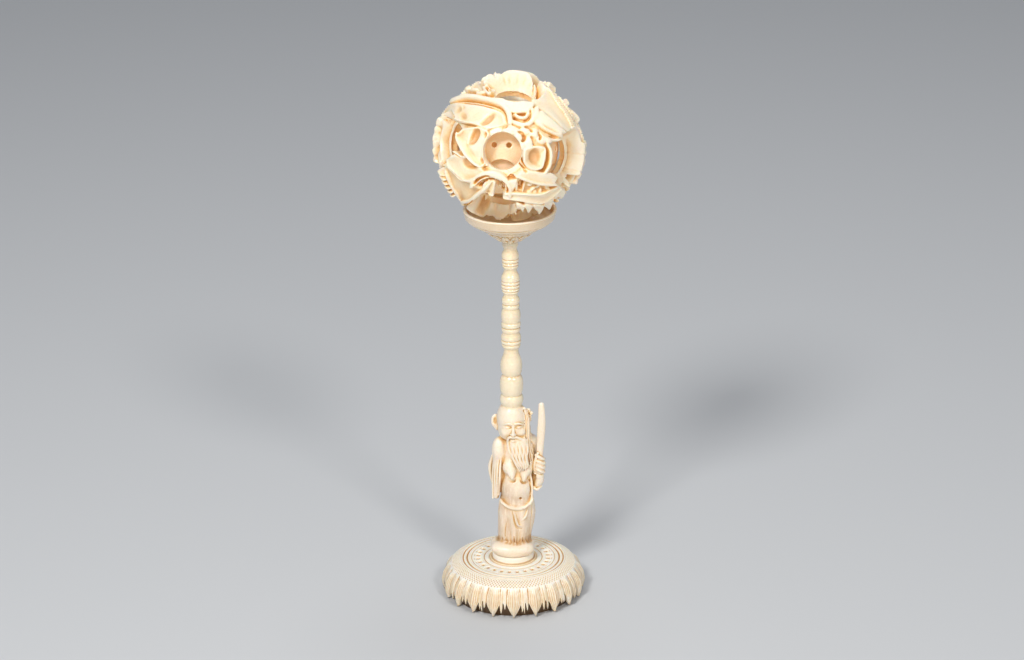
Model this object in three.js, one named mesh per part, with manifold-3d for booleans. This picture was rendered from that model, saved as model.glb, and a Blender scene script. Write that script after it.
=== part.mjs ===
// Carved ivory puzzle ball on its stand, in millimetres, +Z up, front towards -Y.
// A pierced dragon shell holds two loose shells. It rests in a turned cup on a turned stem,
// which stands on the head of an old bearded man, and he stands on a round base with a fringe of leaves.
import * as THREE from "three";
import { ConvexHull } from "three/addons/math/ConvexHull.js";
import { mergeVertices } from "three/addons/utils/BufferGeometryUtils.js";
import Module from "manifold-3d";

const wasm = await Module();
wasm.setup();

// Clearance between pieces that rest on each other
const fitGap = 0.3;

// Round base
const baseRadius = 29.2;
const baseTipRadius = 28.2;
const baseTopHeight = 14.4;
const baseShoulderRadius = 25.2;
const baseShoulderHeight = 12.3;
const baseFootRadius = 25;
const baseRecessRadius = 20;
const baseRecessDepth = 2.2;
const baseRingRadius = 8.4;
const baseRingHeight = 3.1;
const grooveRadius = 18.8;
const grooveWidth = 1;
const grooveDepth = 0.7;
const outerGrooveRadius = 20.3;
const leafCount = 20;
const leafTipLength = 4.6;
const leafValleyDepth = 1.5;
const notchCount = 28;
const notchRadius = 14.3;
const notchSize = 0.95;
const notchDepth = 0.8;

// Figure of the old man, with its own low plinth
const figureHeight = 63.2;
const plinthRadius = 8.7;
const plinthHeight = 3.6;

// Turned stem
const stemHeight = 69.2;
const crownSeatRadius = 4.3;
const collarRadius = 3.13;

// Cup
const cupHeight = 13.5;
const cupRadius = 18.4;
const cupWall = 1.2;
const cupFloor = 7.1;
const bossLeafCount = 12;
const bossLeafDepth = 0.3;

// Nested ball, from the inside out
const innerCoreRadius = 3.9;
const innerBallRadius = 15.9;
const innerHoleRadius = 5;
const innerBallPlay = 1.1;
const middleShellThickness = 2;
const middleHoleRadius = 5.9;
const smallHoleRadius = 1.05;
const smallHolePitch = 5.8;
const middleShellPlay = 1;
const dropShare = 0.3;
const ballRadius = 30;
const reliefDepth = 5.4;
const windowInsideRadius = 6.9;
const windowRimRadius = 7.5;
const windowRimHeight = 1.4;
const toothHeight = 2.2;
const toothRadius = 1.5;

// Turning of each piece about the ball's centre, in degrees: azimuth, elevation and roll of its front hole
const outerShellTurn = { azimuth: -5.8, elevation: 14.7, roll: 8 };
const middleShellTurn = { azimuth: -6.5, elevation: -68.5, roll: -3 };
const innerBallTurn = { azimuth: 173.5, elevation: -76, roll: 0 };

// Heights of the stack, each piece seated on the one below
const figureFoot = baseTopHeight + baseRingHeight + fitGap;
const figureTop = figureFoot + figureHeight;
const stemFoot = figureTop + fitGap;
const stemTop = stemFoot + stemHeight;
const cupFoot = stemTop + fitGap;
const cupRim = cupFoot + cupHeight;
const cupMouthRadius = cupRadius - cupWall;
const seatRadius = ballRadius + fitGap;
const ballCentre = cupRim + Math.sqrt(seatRadius ** 2 - cupMouthRadius ** 2);
const middleShellInside = innerBallRadius + innerBallPlay;
const middleShellRadius = middleShellInside + middleShellThickness;
const outerShellInside = middleShellRadius + middleShellPlay;
const middleShellDrop = dropShare * middleShellPlay;
const innerBallDrop = middleShellDrop + dropShare * innerBallPlay;

const radians = THREE.MathUtils.degToRad;

// Closed geometry to solid, and back
function toSolid(geometry) {
  const bare = geometry.clone();
  bare.deleteAttribute("normal");
  bare.deleteAttribute("uv");
  const merged = mergeVertices(bare, 1e-4);
  const corners = merged.index.array;
  const triangles = [];
  for (let i = 0; i < corners.length; i += 3) {
    const [a, b, c] = [corners[i], corners[i + 1], corners[i + 2]];
    if (a !== b && b !== c && c !== a) triangles.push(a, b, c);
  }
  return new wasm.Manifold(
    new wasm.Mesh({
      numProp: 3,
      vertProperties: new Float32Array(merged.attributes.position.array),
      triVerts: new Uint32Array(triangles),
    }),
  );
}

function toGeometry(solid) {
  const mesh = solid.getMesh();
  const geometry = new THREE.BufferGeometry();
  geometry.setAttribute("position", new THREE.BufferAttribute(mesh.vertProperties, 3));
  geometry.setIndex(new THREE.BufferAttribute(mesh.triVerts, 1));
  geometry.computeVertexNormals();
  return geometry;
}

function join(geometries) {
  return geometries.map(toSolid).reduce((sum, solid) => sum.add(solid));
}

// Turned shape from [radius, height] pairs that run from the axis at the foot to the axis at the top
function turned(profile, sides) {
  const points = profile.map(([radius, height]) => new THREE.Vector2(radius, height));
  return new THREE.LatheGeometry(points, sides).rotateX(Math.PI / 2);
}

function moveVertices(geometry, move) {
  const position = geometry.attributes.position;
  const vertex = new THREE.Vector3();
  for (let i = 0; i < position.count; i++) {
    vertex.fromBufferAttribute(position, i);
    move(vertex);
    position.setXYZ(i, vertex.x, vertex.y, vertex.z);
  }
  return geometry;
}

// 1 at the middle of each of count equal sectors and -1 between them
function sectorWave(vertex, count) {
  return Math.cos(Math.atan2(vertex.x, -vertex.y) * count);
}

function ellipsoid(centre, radii, detail = 1) {
  return new THREE.IcosahedronGeometry(1, detail).scale(...radii).translate(...centre);
}

// Tapered round limb between two points
function limb(from, to, radiusFrom, radiusTo, sides = 7) {
  const start = new THREE.Vector3(...from);
  const end = new THREE.Vector3(...to);
  const along = end.clone().sub(start);
  const geometry = new THREE.CylinderGeometry(radiusTo, radiusFrom, along.length(), sides);
  geometry.translate(0, along.length() / 2, 0);
  const turn = new THREE.Quaternion().setFromUnitVectors(new THREE.Vector3(0, 1, 0), along.normalize());
  return geometry.applyQuaternion(turn).translate(...from);
}

// Ring of leaves: ridges stay on the profile, valleys sink and their lower ends rise
function fringeProfile() {
  return [
    [0, baseRecessDepth],
    [baseRecessRadius, baseRecessDepth],
    [baseRecessRadius, 0],
    [baseFootRadius, 0],
    [baseTipRadius, 0],
    [baseRadius, leafTipLength],
    [baseRadius - 1.2, 8.6],
    [baseShoulderRadius, baseShoulderHeight],
    [outerGrooveRadius + grooveWidth / 2, baseTopHeight - grooveDepth],
    [outerGrooveRadius - grooveWidth / 2, baseTopHeight - 0.1],
    [grooveRadius + grooveWidth / 2, baseTopHeight - 0.1],
    [grooveRadius, baseTopHeight - grooveDepth],
    [grooveRadius - grooveWidth / 2, baseTopHeight],
    [baseRingRadius + 0.6, baseTopHeight],
    [baseRingRadius, baseTopHeight + 0.6],
    [baseRingRadius, baseTopHeight + baseRingHeight],
    [0, baseTopHeight + baseRingHeight],
  ];
}

function makeBase() {
  const body = moveVertices(turned(fringeProfile(), 2 * leafCount), (vertex) => {
    const radius = Math.hypot(vertex.x, vertex.y);
    if (radius < baseShoulderRadius + 0.1) return;
    const valley = (1 - sectorWave(vertex, leafCount)) / 2;
    const low = vertex.z < leafTipLength + 0.1;
    const scale = 1 - (valley * leafValleyDepth) / radius;
    vertex.x *= scale;
    vertex.y *= scale;
    if (low) vertex.z += valley * (vertex.z === 0 ? leafTipLength : 1.5);
  });
  let solid = toSolid(body);
  for (let i = 0; i < notchCount; i++) {
    const notch = new THREE.CylinderGeometry(notchSize, 0.3, 2 * notchDepth, 3);
    notch.rotateX(Math.PI / 2).translate(0, -notchRadius, baseTopHeight);
    notch.rotateZ((i * 2 * Math.PI) / notchCount);
    solid = solid.subtract(toSolid(notch));
  }
  return toGeometry(solid);
}

// Stem outline from foot to top, as [share of its height, radius]
const stemOutline = [
  [0, crownSeatRadius],
  [0.029, 4.66],
  [0.066, 4.06],
  [0.09, 4.35],
  [0.114, 4.61],
  [0.15, 4.3],
  [0.181, 3.7],
  [0.206, 4.0],
  [0.231, 4.28],
  [0.272, 3.87],
  [0.319, 2.93],
  [0.345, 3.3],
  [0.364, 3.9],
  [0.426, 3.96],
  [0.447, 3.47],
  [0.484, 3.97],
  [0.523, 3.63],
  [0.549, 3.88],
  [0.6, 3.49],
  [0.621, 3.76],
  [0.671, 2.92],
  [0.695, 3.23],
  [0.725, 3.64],
  [0.769, 3.64],
  [0.786, 3.54],
  [0.822, 2.65],
  [0.858, 3.2],
  [0.913, 3.3],
  [0.961, 2.54],
  [0.98, collarRadius],
  [1, collarRadius],
];

function makeStem() {
  const rings = stemOutline.map(([share, radius]) => [radius, stemFoot + share * stemHeight]);
  return turned([[0, stemFoot], ...rings, [0, stemTop]], 14);
}

// Cup outline as [radius, height], outside from the foot to the rim and then down the dish
function makeCup() {
  const outline = [
    [0, 0],
    [0.5 * (collarRadius + 3.9), 0],
    [5.4, 1.2],
    [8, 3.3],
    [9.5, 4.5],
    [cupRadius - 4.4, 7.2],
    [cupRadius - 2.8, 8.3],
    [cupRadius - 2.1, 9],
    [cupRadius - 0.9, 9.9],
    [cupRadius, cupHeight - 0.4],
    [cupRadius - 0.2, cupHeight],
    [cupMouthRadius, cupHeight],
    [cupMouthRadius - 0.6, cupHeight - 2.1],
    [cupMouthRadius - 3.2, cupHeight - 4.3],
    [cupMouthRadius - 8.2, cupFloor + 0.5],
    [0, cupFloor],
  ].map(([radius, height]) => [radius, cupFoot + height]);
  return moveVertices(turned(outline, 2 * bossLeafCount), (vertex) => {
    const height = vertex.z - cupFoot;
    if (height < 1 || height > 4) return;
    const radius = Math.hypot(vertex.x, vertex.y);
    const scale = 1 + (bossLeafDepth * sectorWave(vertex, bossLeafCount)) / radius;
    vertex.x *= scale;
    vertex.y *= scale;
  });
}

// The man's carving is drawn this many units high, plinth and all, and takes its size from the figure
const carvingUnits = 63.2;

// Robed body as [height, centre x, centre y, half width, half depth]
const bodyLevels = [
  [0, 1, 0.3, 6, 5.8],
  [4, 1, 0.3, 6.2, 6],
  [8, 1, 0.1, 5.8, 5.6],
  [13.3, 1.4, 0, 6.3, 5.9],
  [18.3, 1.9, 0, 6.8, 6.2],
  [21.5, 2, 0, 6.7, 6.2],
  [25, 1.8, 0.4, 5.9, 5.2],
  [31.2, 1.6, 0.6, 5.8, 4.6],
  [38, 1.4, 0.8, 6, 4.7],
  [43, 1.2, 1, 6.4, 4.7],
  [46.6, 1.1, 1.1, 5.8, 4.3],
  [49.5, 0.9, 1, 3.6, 3.2],
  [64, 0.3, 0, 2.6, 2.6],
];

// Round masses as [centre, radii, softness of the join]
const masses = [
  [[0.3, 0, 58.3], [5.6, 6, 7.3], 0.6],
  [[0.9, -2.1, 54], [4.5, 4, 5.4], 1],
  [[-6.3, 0.8, 56.8], [1.8, 1, 2.7], 0.3],
  [[6.7, 0.8, 58.6], [1.5, 1, 2.5], 0.3],
  [[-2.1, -4, 53], [2, 1.5, 1.7], 0.8],
  [[3.9, -4, 53], [2, 1.5, 1.7], 0.8],
  [[-0.5, -3, 37], [3.4, 2.9, 3.4], 1.4],
  [[5.3, -3, 36.6], [3.1, 2.9, 3.4], 1.4],
  [[1.8, -2.1, 28.6], [6, 4.7, 5.8], 2],
  [[6.6, 1.8, 46], [3.6, 3.4, 3.8], 0.8],
  [[5.4, 2.4, 51.5], [2.2, 2.8, 4.2], 0.8],
  [[11, -3, 37.8], [2.3, 2.2, 4.4], 0.3],
];

// Long forms as chains of [x, y, z, radius], each with its softness of the join
const faceMiddle = 0.9;
const brow = [[1.2, -5.7, 57, 0.5], [3.2, -5.6, 57.4, 0.8], [5.5, -3.9, 56.8, 0.6]];
const moustache = [[1.1, -6.3, 51.2, 0.8], [3.5, -6, 50.3, 0.9], [4.7, -5.4, 47, 0.4]];
const mirrored = (chain) => chain.map(([x, y, z, radius]) => [2 * faceMiddle - x, y, z, radius]);
const chains = [
  { soft: 0.3, points: [[0.8, -5.4, 57, 0.6], [0.9, -6.6, 53.4, 1], [0.9, -6, 52.6, 1.2]] },
  { soft: 0.3, points: brow },
  { soft: 0.3, points: mirrored(brow) },
  { soft: 0.2, points: moustache },
  { soft: 0.2, points: mirrored(moustache) },
  // Pointed beard on the chest
  { soft: 0.3, points: [[0.9, -3.8, 50, 3], [1.8, -5, 45, 2.5], [3, -6, 39, 0.6]] },
  { soft: 0.1, points: [[0.9, -6.4, 50, 0.7], [1.8, -7.4, 45, 0.7], [3, -6.6, 38.6, 0.4]] },
  // Right arm in its sleeve on the viewer's left, and the sleeve's tail behind
  { soft: 0.5, points: [[-4, 0.8, 47.2, 2.4], [-5.1, 0, 41, 2.7], [-5.2, -0.4, 33, 2.4]] },
  { soft: 0.5, points: [[-5.2, -0.4, 33, 2.4], [-6.3, -0.6, 23.6, 1.4]] },
  { soft: 0.3, points: [[-7.9, 1.4, 40.4, 1], [-8.2, 1.4, 35, 1.2], [-6.6, 0.8, 25, 1]] },
  // Left arm, bent up to the hand with the blade
  { soft: 0.5, points: [[6.6, 1.6, 45, 3], [8.4, 1.2, 38, 2.9], [10, -0.4, 29.8, 2.1]] },
  { soft: 0.3, points: [[10.2, -0.8, 29.8, 2], [10.8, -2.6, 35, 1.8]] },
  // Rolled waistband under the belly
  { soft: 0.3, points: [[-4.8, -1, 27.4, 1], [-3.2, -4.4, 24, 1.3], [1.9, -6.4, 22, 1.4]] },
  { soft: 0.3, points: [[1.9, -6.4, 22, 1.4], [7, -4.4, 24, 1.3], [8.6, -1, 27.4, 1]] },
  // Folds of the skirt
  { soft: 1.6, points: [[7.6, -1.2, 20.5, 1.5], [5.4, -3.8, 13.5, 1.9], [0.5, -4.2, 6.5, 1.7]] },
  { soft: 1.6, points: [[-3.8, -2, 18.5, 1.4], [-0.4, -4.6, 15, 1.6], [3, -4.6, 12.5, 1.2]] },
];
// Hollows: under the brows, and between the arms and the chest
const furrows = [
  [[-2.6, -5.4, 55.6, 0.7], [-0.4, -6.1, 55.4, 0.6]],
  [[2.2, -6.1, 55.4, 0.6], [4.4, -5.4, 55.6, 0.7]],
  [[-2.4, -4.6, 45, 0.5], [-3.1, -4.1, 38, 0.6], [-3.9, -3.6, 30, 0.6], [-4.2, -3, 25, 0.5]],
  [[8.3, -2.6, 42, 0.6], [8.2, -3, 36, 0.8], [7.6, -3.6, 30, 0.7]],
];
const hemTop = 10;
const hemFolds = 9;
const hemFoldDepth = 0.6;
const columnCount = 31;
const frontShare = 0.35;
const farReach = 16;

const mix = (a, b, share) => a + (b - a) * share;

// Values of a sorted table at a height, its first column being the height
function levelAt(levels, height) {
  const above = Math.max(1, levels.findIndex(([level]) => level > height));
  const [low, high] = [levels[above - 1], levels[above]];
  const share = (height - low[0]) / (high[0] - low[0]);
  return low.map((value, i) => mix(value, high[i], share));
}

// Distances from a point to each kind of form, below zero inside it
function bodyDistance(point) {
  const [height, x, y, halfWidth, halfDepth] = levelAt(bodyLevels, point.z);
  const fold = Math.max(0, 1 - height / hemTop) * hemFoldDepth * sectorWave(point, hemFolds);
  const reach = Math.hypot((point.x - x) / (halfWidth + fold), (point.y - y) / (halfDepth + fold));
  return (reach - 1) * Math.min(halfWidth, halfDepth);
}

function massDistance(point, [x, y, z], radii) {
  const reach = Math.hypot((point.x - x) / radii[0], (point.y - y) / radii[1], (point.z - z) / radii[2]);
  return (reach - 1) * Math.min(...radii);
}

function chainDistance(point, chain) {
  let nearest = Infinity;
  for (let i = 0; i + 1 < chain.length; i++) {
    const [ax, ay, az, from] = chain[i];
    const [bx, by, bz, to] = chain[i + 1];
    const along = new THREE.Vector3(bx - ax, by - ay, bz - az);
    const offset = new THREE.Vector3(point.x - ax, point.y - ay, point.z - az);
    const share = THREE.MathUtils.clamp(offset.dot(along) / along.lengthSq(), 0, 1);
    nearest = Math.min(nearest, offset.addScaledVector(along, -share).length() - mix(from, to, share));
  }
  return nearest;
}

function softly(a, b, soft) {
  const overlap = Math.max(0, soft - Math.abs(a - b)) / soft;
  return Math.min(a, b) - 0.25 * soft * overlap ** 2;
}

function manDistance(point) {
  let distance = bodyDistance(point);
  for (const [centre, radii, soft] of masses) {
    distance = softly(distance, massDistance(point, centre, radii), soft);
  }
  for (const { points, soft } of chains) distance = softly(distance, chainDistance(point, points), soft);
  for (const furrow of furrows) distance = -softly(-distance, chainDistance(point, furrow), 0.3);
  return distance;
}

// Heights of the carved rings, closer together where the carving is finer
function ringHeights() {
  const foot = 0.4 * (plinthHeight / figureHeight) * carvingUnits;
  const stretches = [
    { from: foot, to: 20, step: 3 },
    { from: 20, to: 46, step: 1.75 },
    { from: 46, to: carvingUnits, step: 1.2 },
  ];
  return stretches.flatMap(({ from, to, step }, i) => {
    const count = Math.round((to - from) / step);
    const last = i === stretches.length - 1 ? count + 1 : count;
    return Array.from({ length: last }, (_, ring) => mix(from, to, ring / count));
  });
}

// The man as one skin: every ring is drawn in towards the body's axis until it meets the forms.
// Columns stand closer together at the front.
function carvedSkin() {
  const heights = ringHeights();
  const top = heights.length - 1;
  const rings = heights.map((height, i) => [1, i]);
  return moveVertices(turned([[0, 0], ...rings, [0, top]], columnCount), (vertex) => {
    const height = heights[Math.round(vertex.z)];
    const [, x, y] = levelAt(bodyLevels, height);
    if (Math.hypot(vertex.x, vertex.y) < 0.5) return vertex.set(x, y, height);
    const turn = Math.atan2(vertex.x, -vertex.y);
    const angle = turn - frontShare * Math.sin(turn);
    const outward = new THREE.Vector3(Math.sin(angle), -Math.cos(angle), 0);
    vertex.set(x, y, height).addScaledVector(outward, farReach);
    for (let step = 0; step < 60; step++) {
      const distance = manDistance(vertex);
      if (distance < 0.01) break;
      vertex.addScaledVector(outward, -0.8 * distance);
    }
  });
}

// Flat carved piece from an outline in the XZ plane, between two depths
function slab(outline, front, thickness, curveSegments) {
  const options = { depth: thickness, bevelEnabled: false, curveSegments };
  return new THREE.ExtrudeGeometry(outline, options).rotateX(Math.PI / 2).translate(0, front + thickness, 0);
}

// Curved blade held upright
function bladeShape() {
  const outline = new THREE.Shape();
  outline.moveTo(8.4, 33.5);
  outline.quadraticCurveTo(8.4, 41, 10.2, 49);
  outline.quadraticCurveTo(11.4, 57, 11, 64.5);
  outline.lineTo(11.8, 66);
  outline.lineTo(12.6, 65);
  outline.quadraticCurveTo(15, 55, 12.9, 46);
  outline.quadraticCurveTo(11, 40, 10.9, 33.5);
  return slab(outline, -4.4, 1.8, 5);
}

// Fingers closed round the blade
function fingerShapes() {
  const heights = [34.4, 36.3, 38.2, 40.1];
  return heights.map((height) => limb([9, -4.2, height + 0.4], [12.6, -4.4, height], 1, 0.9, 5));
}

function makeFigure() {
  const plinth = turned(
    [
      [0, 0],
      [plinthRadius - 0.4, 0],
      [plinthRadius, 1],
      [plinthRadius - 0.3, plinthHeight - 0.6],
      [plinthRadius - 1.2, plinthHeight],
      [0, plinthHeight],
    ],
    20,
  );
  const scale = figureHeight / carvingUnits;
  const man = join([carvedSkin(), bladeShape(), ...fingerShapes()]).scale([scale, scale, scale]);
  return toGeometry(man.add(toSolid(plinth)).translate([0, 0, figureFoot]));
}

// Direction on the ball from azimuth and elevation in degrees; azimuth 0 is the front
function direction(azimuth, elevation) {
  const a = radians(azimuth);
  const e = radians(elevation);
  return new THREE.Vector3(Math.sin(a) * Math.cos(e), -Math.cos(a) * Math.cos(e), Math.sin(e));
}

// The fourteen holes of each shell stand on the faces and corners of a cube
const cornerAngle = 54.7356;
const holeDirections = [
  ...[0, 180].map((azimuth) => direction(azimuth, 0)),
  ...[90, -90].flatMap((azimuth) => [45, -45].map((elevation) => direction(azimuth, elevation))),
  ...[0, 180].flatMap((azimuth) => [
    direction(azimuth, cornerAngle),
    direction(azimuth, -cornerAngle),
    direction(azimuth + cornerAngle, 0),
    direction(azimuth - cornerAngle, 0),
  ]),
];
const edgeAngle = 90 - cornerAngle;
const edgeDirections = [
  ...[90, -90].map((azimuth) => direction(azimuth, 0)),
  ...[90, -90].map((elevation) => direction(0, elevation)),
  ...[45, 135, 225, 315].flatMap((side) => [direction(side, edgeAngle), direction(side, -edgeAngle)]),
];
const faceDirections = holeDirections.slice(0, 6);

// Two small holes stand beside each edge of the cube, towards its two faces
const smallHoleAngle = Math.asin(smallHolePitch / 2 / middleShellRadius);
const smallHoleDirections = edgeDirections.flatMap((edge) =>
  faceDirections
    .filter((face) => face.angleTo(edge) < Math.PI / 3)
    .map((face) => edge.clone().applyAxisAngle(edge.clone().cross(face).normalize(), smallHoleAngle)),
);

// Ring of directions at an angle from a hole's axis
function rim(axis, angle, sides) {
  const aside = Math.abs(axis.z) < 0.9 ? new THREE.Vector3(0, 0, 1) : new THREE.Vector3(1, 0, 0);
  const first = axis.clone().applyAxisAngle(aside.cross(axis).normalize(), angle);
  const step = (2 * Math.PI) / sides;
  return Array.from({ length: sides }, (_, i) => first.clone().applyAxisAngle(axis, i * step));
}

// Even spiral of directions over the whole sphere, about as far apart as the spacing in radians
function spiral(spacing) {
  const count = Math.round((4 * Math.PI) / (0.7 * spacing ** 2));
  const golden = Math.PI * (3 - Math.sqrt(5));
  return Array.from({ length: count }, (_, i) => {
    const z = 1 - (2 * i + 1) / count;
    const radius = Math.sqrt(1 - z ** 2);
    return new THREE.Vector3(radius * Math.cos(i * golden), radius * Math.sin(i * golden), z);
  });
}

// The wanted directions that keep a spacing to each other, to the rims and to the inside of the holes
function scatter(wanted, rims, holes, spacing) {
  const kept = [];
  for (const candidate of wanted) {
    const inHole = holes.some((hole) => hole.axis.angleTo(candidate) < hole.angle + 0.5 * spacing);
    const clear = (other) => other.angleTo(candidate) > spacing;
    if (!inHole && rims.every((point) => point.angleTo(candidate) > 0.7 * spacing) && kept.every(clear)) {
      kept.push(candidate);
    }
  }
  return kept;
}

// Triangles over directions on a sphere, leaving the holes open
function stretch(directions, holes) {
  const points = [...directions, ...holes.map((hole) => hole.axis.clone())];
  const places = new Map(points.map((point, i) => [point, i]));
  return new ConvexHull()
    .setFromPoints(points)
    .faces.map(({ edge }) => [edge, edge.next, edge.next.next].map((side) => places.get(side.head().point)))
    .filter((corners) => corners.every((corner) => corner < directions.length));
}

// One skin of a shell: its rims first, then what fills the rest
function skin(holes, angleOf, wanted, spacing, radiusOf) {
  const open = holes.map((hole) => ({ axis: hole.axis, angle: angleOf(hole) }));
  const rims = open.flatMap(({ axis, angle }, i) => rim(axis, angle, holes[i].sides));
  const directions = [...rims, ...scatter(wanted, rims, open, spacing)];
  return {
    triangles: stretch(directions, open),
    points: directions.map((towards) => towards.clone().multiplyScalar(radiusOf(towards))),
  };
}

// Closed shell from an outer and an inner skin, with a wall round each hole
function piercedShell(outer, inner, holes) {
  const shift = outer.points.length;
  const lining = inner.triangles.map(([a, b, c]) => [c + shift, b + shift, a + shift]);
  const triangles = [...outer.triangles, ...lining];
  let start = 0;
  for (const { sides } of holes) {
    for (let i = 0; i < sides; i++) {
      const a = start + i;
      const b = start + ((i + 1) % sides);
      triangles.push([a, b, b + shift], [a, b + shift, a + shift]);
    }
    start += sides;
  }
  const geometry = new THREE.BufferGeometry().setFromPoints([...outer.points, ...inner.points]);
  geometry.setIndex(triangles.flat());
  geometry.computeVertexNormals();
  return geometry;
}

// Carving of the front half of the outer shell. Each band follows [azimuth, elevation] points in degrees,
// with a half width in degrees, a depth below the ball's surface, and a roundness from 2, round, up.
const bands = [
  { path: [[-46, 44], [-48, 62], [-20, 80], [50, 80], [46, 62]], half: 10, depth: 0, round: 4 },
  { path: [[-76, 17], [-50, 25], [-28, 28], [-10, 25], [3, 17]], half: 10, depth: 0.9, round: 4 },
  { path: [[-70, 32], [-50, 37], [-34, 38], [-16, 34], [-4, 25]], half: 4, depth: 0, round: 2 },
  { path: [[52, 52], [62, 40], [66, 28], [76, 14], [86, 0]], half: 8, depth: 1.4, round: 2.4, toothed: true },
  { path: [[22, 46], [30, 36], [42, 26], [57, 18]], half: 8, depth: 0, round: 2.2 },
  { path: [[2, 23], [13, 29], [22, 31]], half: 4, depth: 0.6, round: 2 },
  { path: [[10, 18], [17, 12], [18, 4]], half: 5, depth: 1.2, round: 2 },
  { path: [[20, 5], [28, 0], [34, -6]], half: 8, depth: 1.2, round: 4 },
  { path: [[72, 8], [78, -4], [82, -16]], half: 8, depth: 0.2, round: 4 },
  { path: [[7, -13], [18, -17], [38, -19], [56, -22], [70, -14]], half: 5, depth: 0, round: 2 },
  { path: [[-40, 12], [-28, 5], [-16, -6]], half: 8, depth: 0.9, round: 4 },
  { path: [[-78, 2], [-68, -12], [-50, -18], [-34, -20], [-12, -20]], half: 8, depth: 0.4, round: 3 },
  { path: [[-86, -16], [-70, -30], [-54, -42], [-38, -52]], half: 8, depth: 1.4, round: 2.4, toothed: true },
  { path: [[-24, -30], [-15, -24], [-4, -24], [6, -32]], half: 5, depth: 0.2, round: 3 },
  { path: [[10, -34], [26, -38], [44, -42], [60, -36], [84, -24]], half: 6, depth: 0, round: 3 },
  { path: [[-50, -66], [-16, -76], [20, -74], [52, -62]], half: 8, depth: 0, round: 3 },
  { path: [[-88, 8], [-84, 20]], half: 7, depth: 0.4, round: 3 },
];

// Hollows as [azimuth, elevation, half width in degrees, depth]
const hollows = [
  [-50, 26, 4, 1.2],
  [-27, 26, 4, 1.2],
  [-29, 10, 4, 1.4],
  [-19, 1, 4, 1.2],
  [27, 0, 4, 1.6],
  [-44, -14, 4, 1],
  [22, -24, 5, 1.6],
];

const carvingSpacing = radians(5);
const wallSpacing = radians(12);
const crestShare = 0.7;
const footShare = 1.15;

function bandPoints(band, count) {
  const points = band.path.map(([azimuth, elevation]) => direction(azimuth, elevation));
  return new THREE.CatmullRomCurve3(points).getSpacedPoints(count).map((point) => point.normalize());
}

const carvedBands = bands.map((band) => ({ ...band, points: bandPoints(band, 24) }));

// The front carving is repeated half a turn round the ball
function bothHalves(towards) {
  return [towards, towards.clone().applyAxisAngle(new THREE.Vector3(0, 0, 1), Math.PI)];
}

function carvedRadius(towards) {
  const ground = ballRadius - reliefDepth;
  let radius = ground;
  for (const view of bothHalves(towards)) {
    for (const band of carvedBands) {
      const offset = Math.min(...band.points.map((point) => point.angleTo(view))) / radians(band.half);
      if (offset >= 1) continue;
      const rise = (1 - offset ** band.round) ** (1 / band.round);
      radius = Math.max(radius, ground + (reliefDepth - band.depth) * rise);
    }
    for (const [azimuth, elevation, half, depth] of hollows) {
      const offset = view.angleTo(direction(azimuth, elevation)) / radians(half);
      radius -= depth * Math.exp(-(offset ** 2));
    }
  }
  const fromHole = Math.min(...holeDirections.map((hole) => hole.angleTo(towards)));
  const fromRim = fromHole * ballRadius - windowRimRadius;
  return Math.min(radius, ballRadius, ground + windowRimHeight + 1.3 * Math.max(0, fromRim));
}

// Directions along the crest and both feet of every band, so that the mesh follows the carving
function carvingDirections() {
  return bands.flatMap((band) => {
    const points = bandPoints(band, 60);
    return [0, crestShare, -crestShare, footShare, -footShare].flatMap((share) =>
      points.slice(1).flatMap((point, i) => {
        const along = point.clone().sub(points[i]).normalize();
        return bothHalves(point.clone().applyAxisAngle(along, share * radians(band.half)));
      }),
    );
  });
}

function makeTeeth() {
  const teeth = [];
  for (const band of bands.filter((each) => each.toothed)) {
    const spacing = (2 * toothRadius) / ballRadius;
    const [start] = band.path;
    const end = band.path.at(-1);
    const count = Math.round(direction(...start).angleTo(direction(...end)) / spacing);
    for (const towards of bandPoints(band, count).flatMap(bothHalves)) {
      const tooth = new THREE.ConeGeometry(toothRadius, toothHeight, 3);
      tooth.translate(0, ballRadius - toothHeight / 2, 0);
      const turn = new THREE.Quaternion().setFromUnitVectors(new THREE.Vector3(0, 1, 0), towards);
      teeth.push(tooth.applyQuaternion(turn));
    }
  }
  return teeth;
}

function makeOuterShell() {
  const rimAngle = Math.asin(windowRimRadius / (ballRadius - reliefDepth + windowRimHeight));
  const insideAngle = Math.asin(windowInsideRadius / outerShellInside);
  const holes = holeDirections.map((axis) => ({ axis, sides: 14 }));
  const wanted = [...carvingDirections(), ...spiral(carvingSpacing)];
  const outer = skin(holes, () => rimAngle, wanted, carvingSpacing, carvedRadius);
  const inner = skin(holes, () => insideAngle, spiral(wallSpacing), wallSpacing, () => outerShellInside);
  return toGeometry(join([piercedShell(outer, inner, holes), ...makeTeeth()]));
}

function makeMiddleShell() {
  const holes = [
    ...holeDirections.map((axis) => ({ axis, sides: 10, radius: middleHoleRadius })),
    ...smallHoleDirections.map((axis) => ({ axis, sides: 5, radius: smallHoleRadius })),
  ];
  const angleOf = (hole) => Math.asin(hole.radius / middleShellRadius);
  const outer = skin(holes, angleOf, spiral(wallSpacing), wallSpacing, () => middleShellRadius);
  const inner = skin(holes, angleOf, spiral(wallSpacing), wallSpacing, () => middleShellInside);
  return piercedShell(outer, inner, holes);
}

// Innermost ball, bored from fourteen sides towards the middle, where the holes meet
function makeInnerBall() {
  const holes = holeDirections.map((axis) => ({ axis, sides: 9 }));
  const angleOf = () => Math.asin(innerHoleRadius / innerBallRadius);
  const outer = skin(holes, angleOf, spiral(wallSpacing), wallSpacing, () => innerBallRadius);
  const inner = skin(holes, angleOf, [], wallSpacing, () => innerCoreRadius);
  return piercedShell(outer, inner, holes);
}

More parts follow.
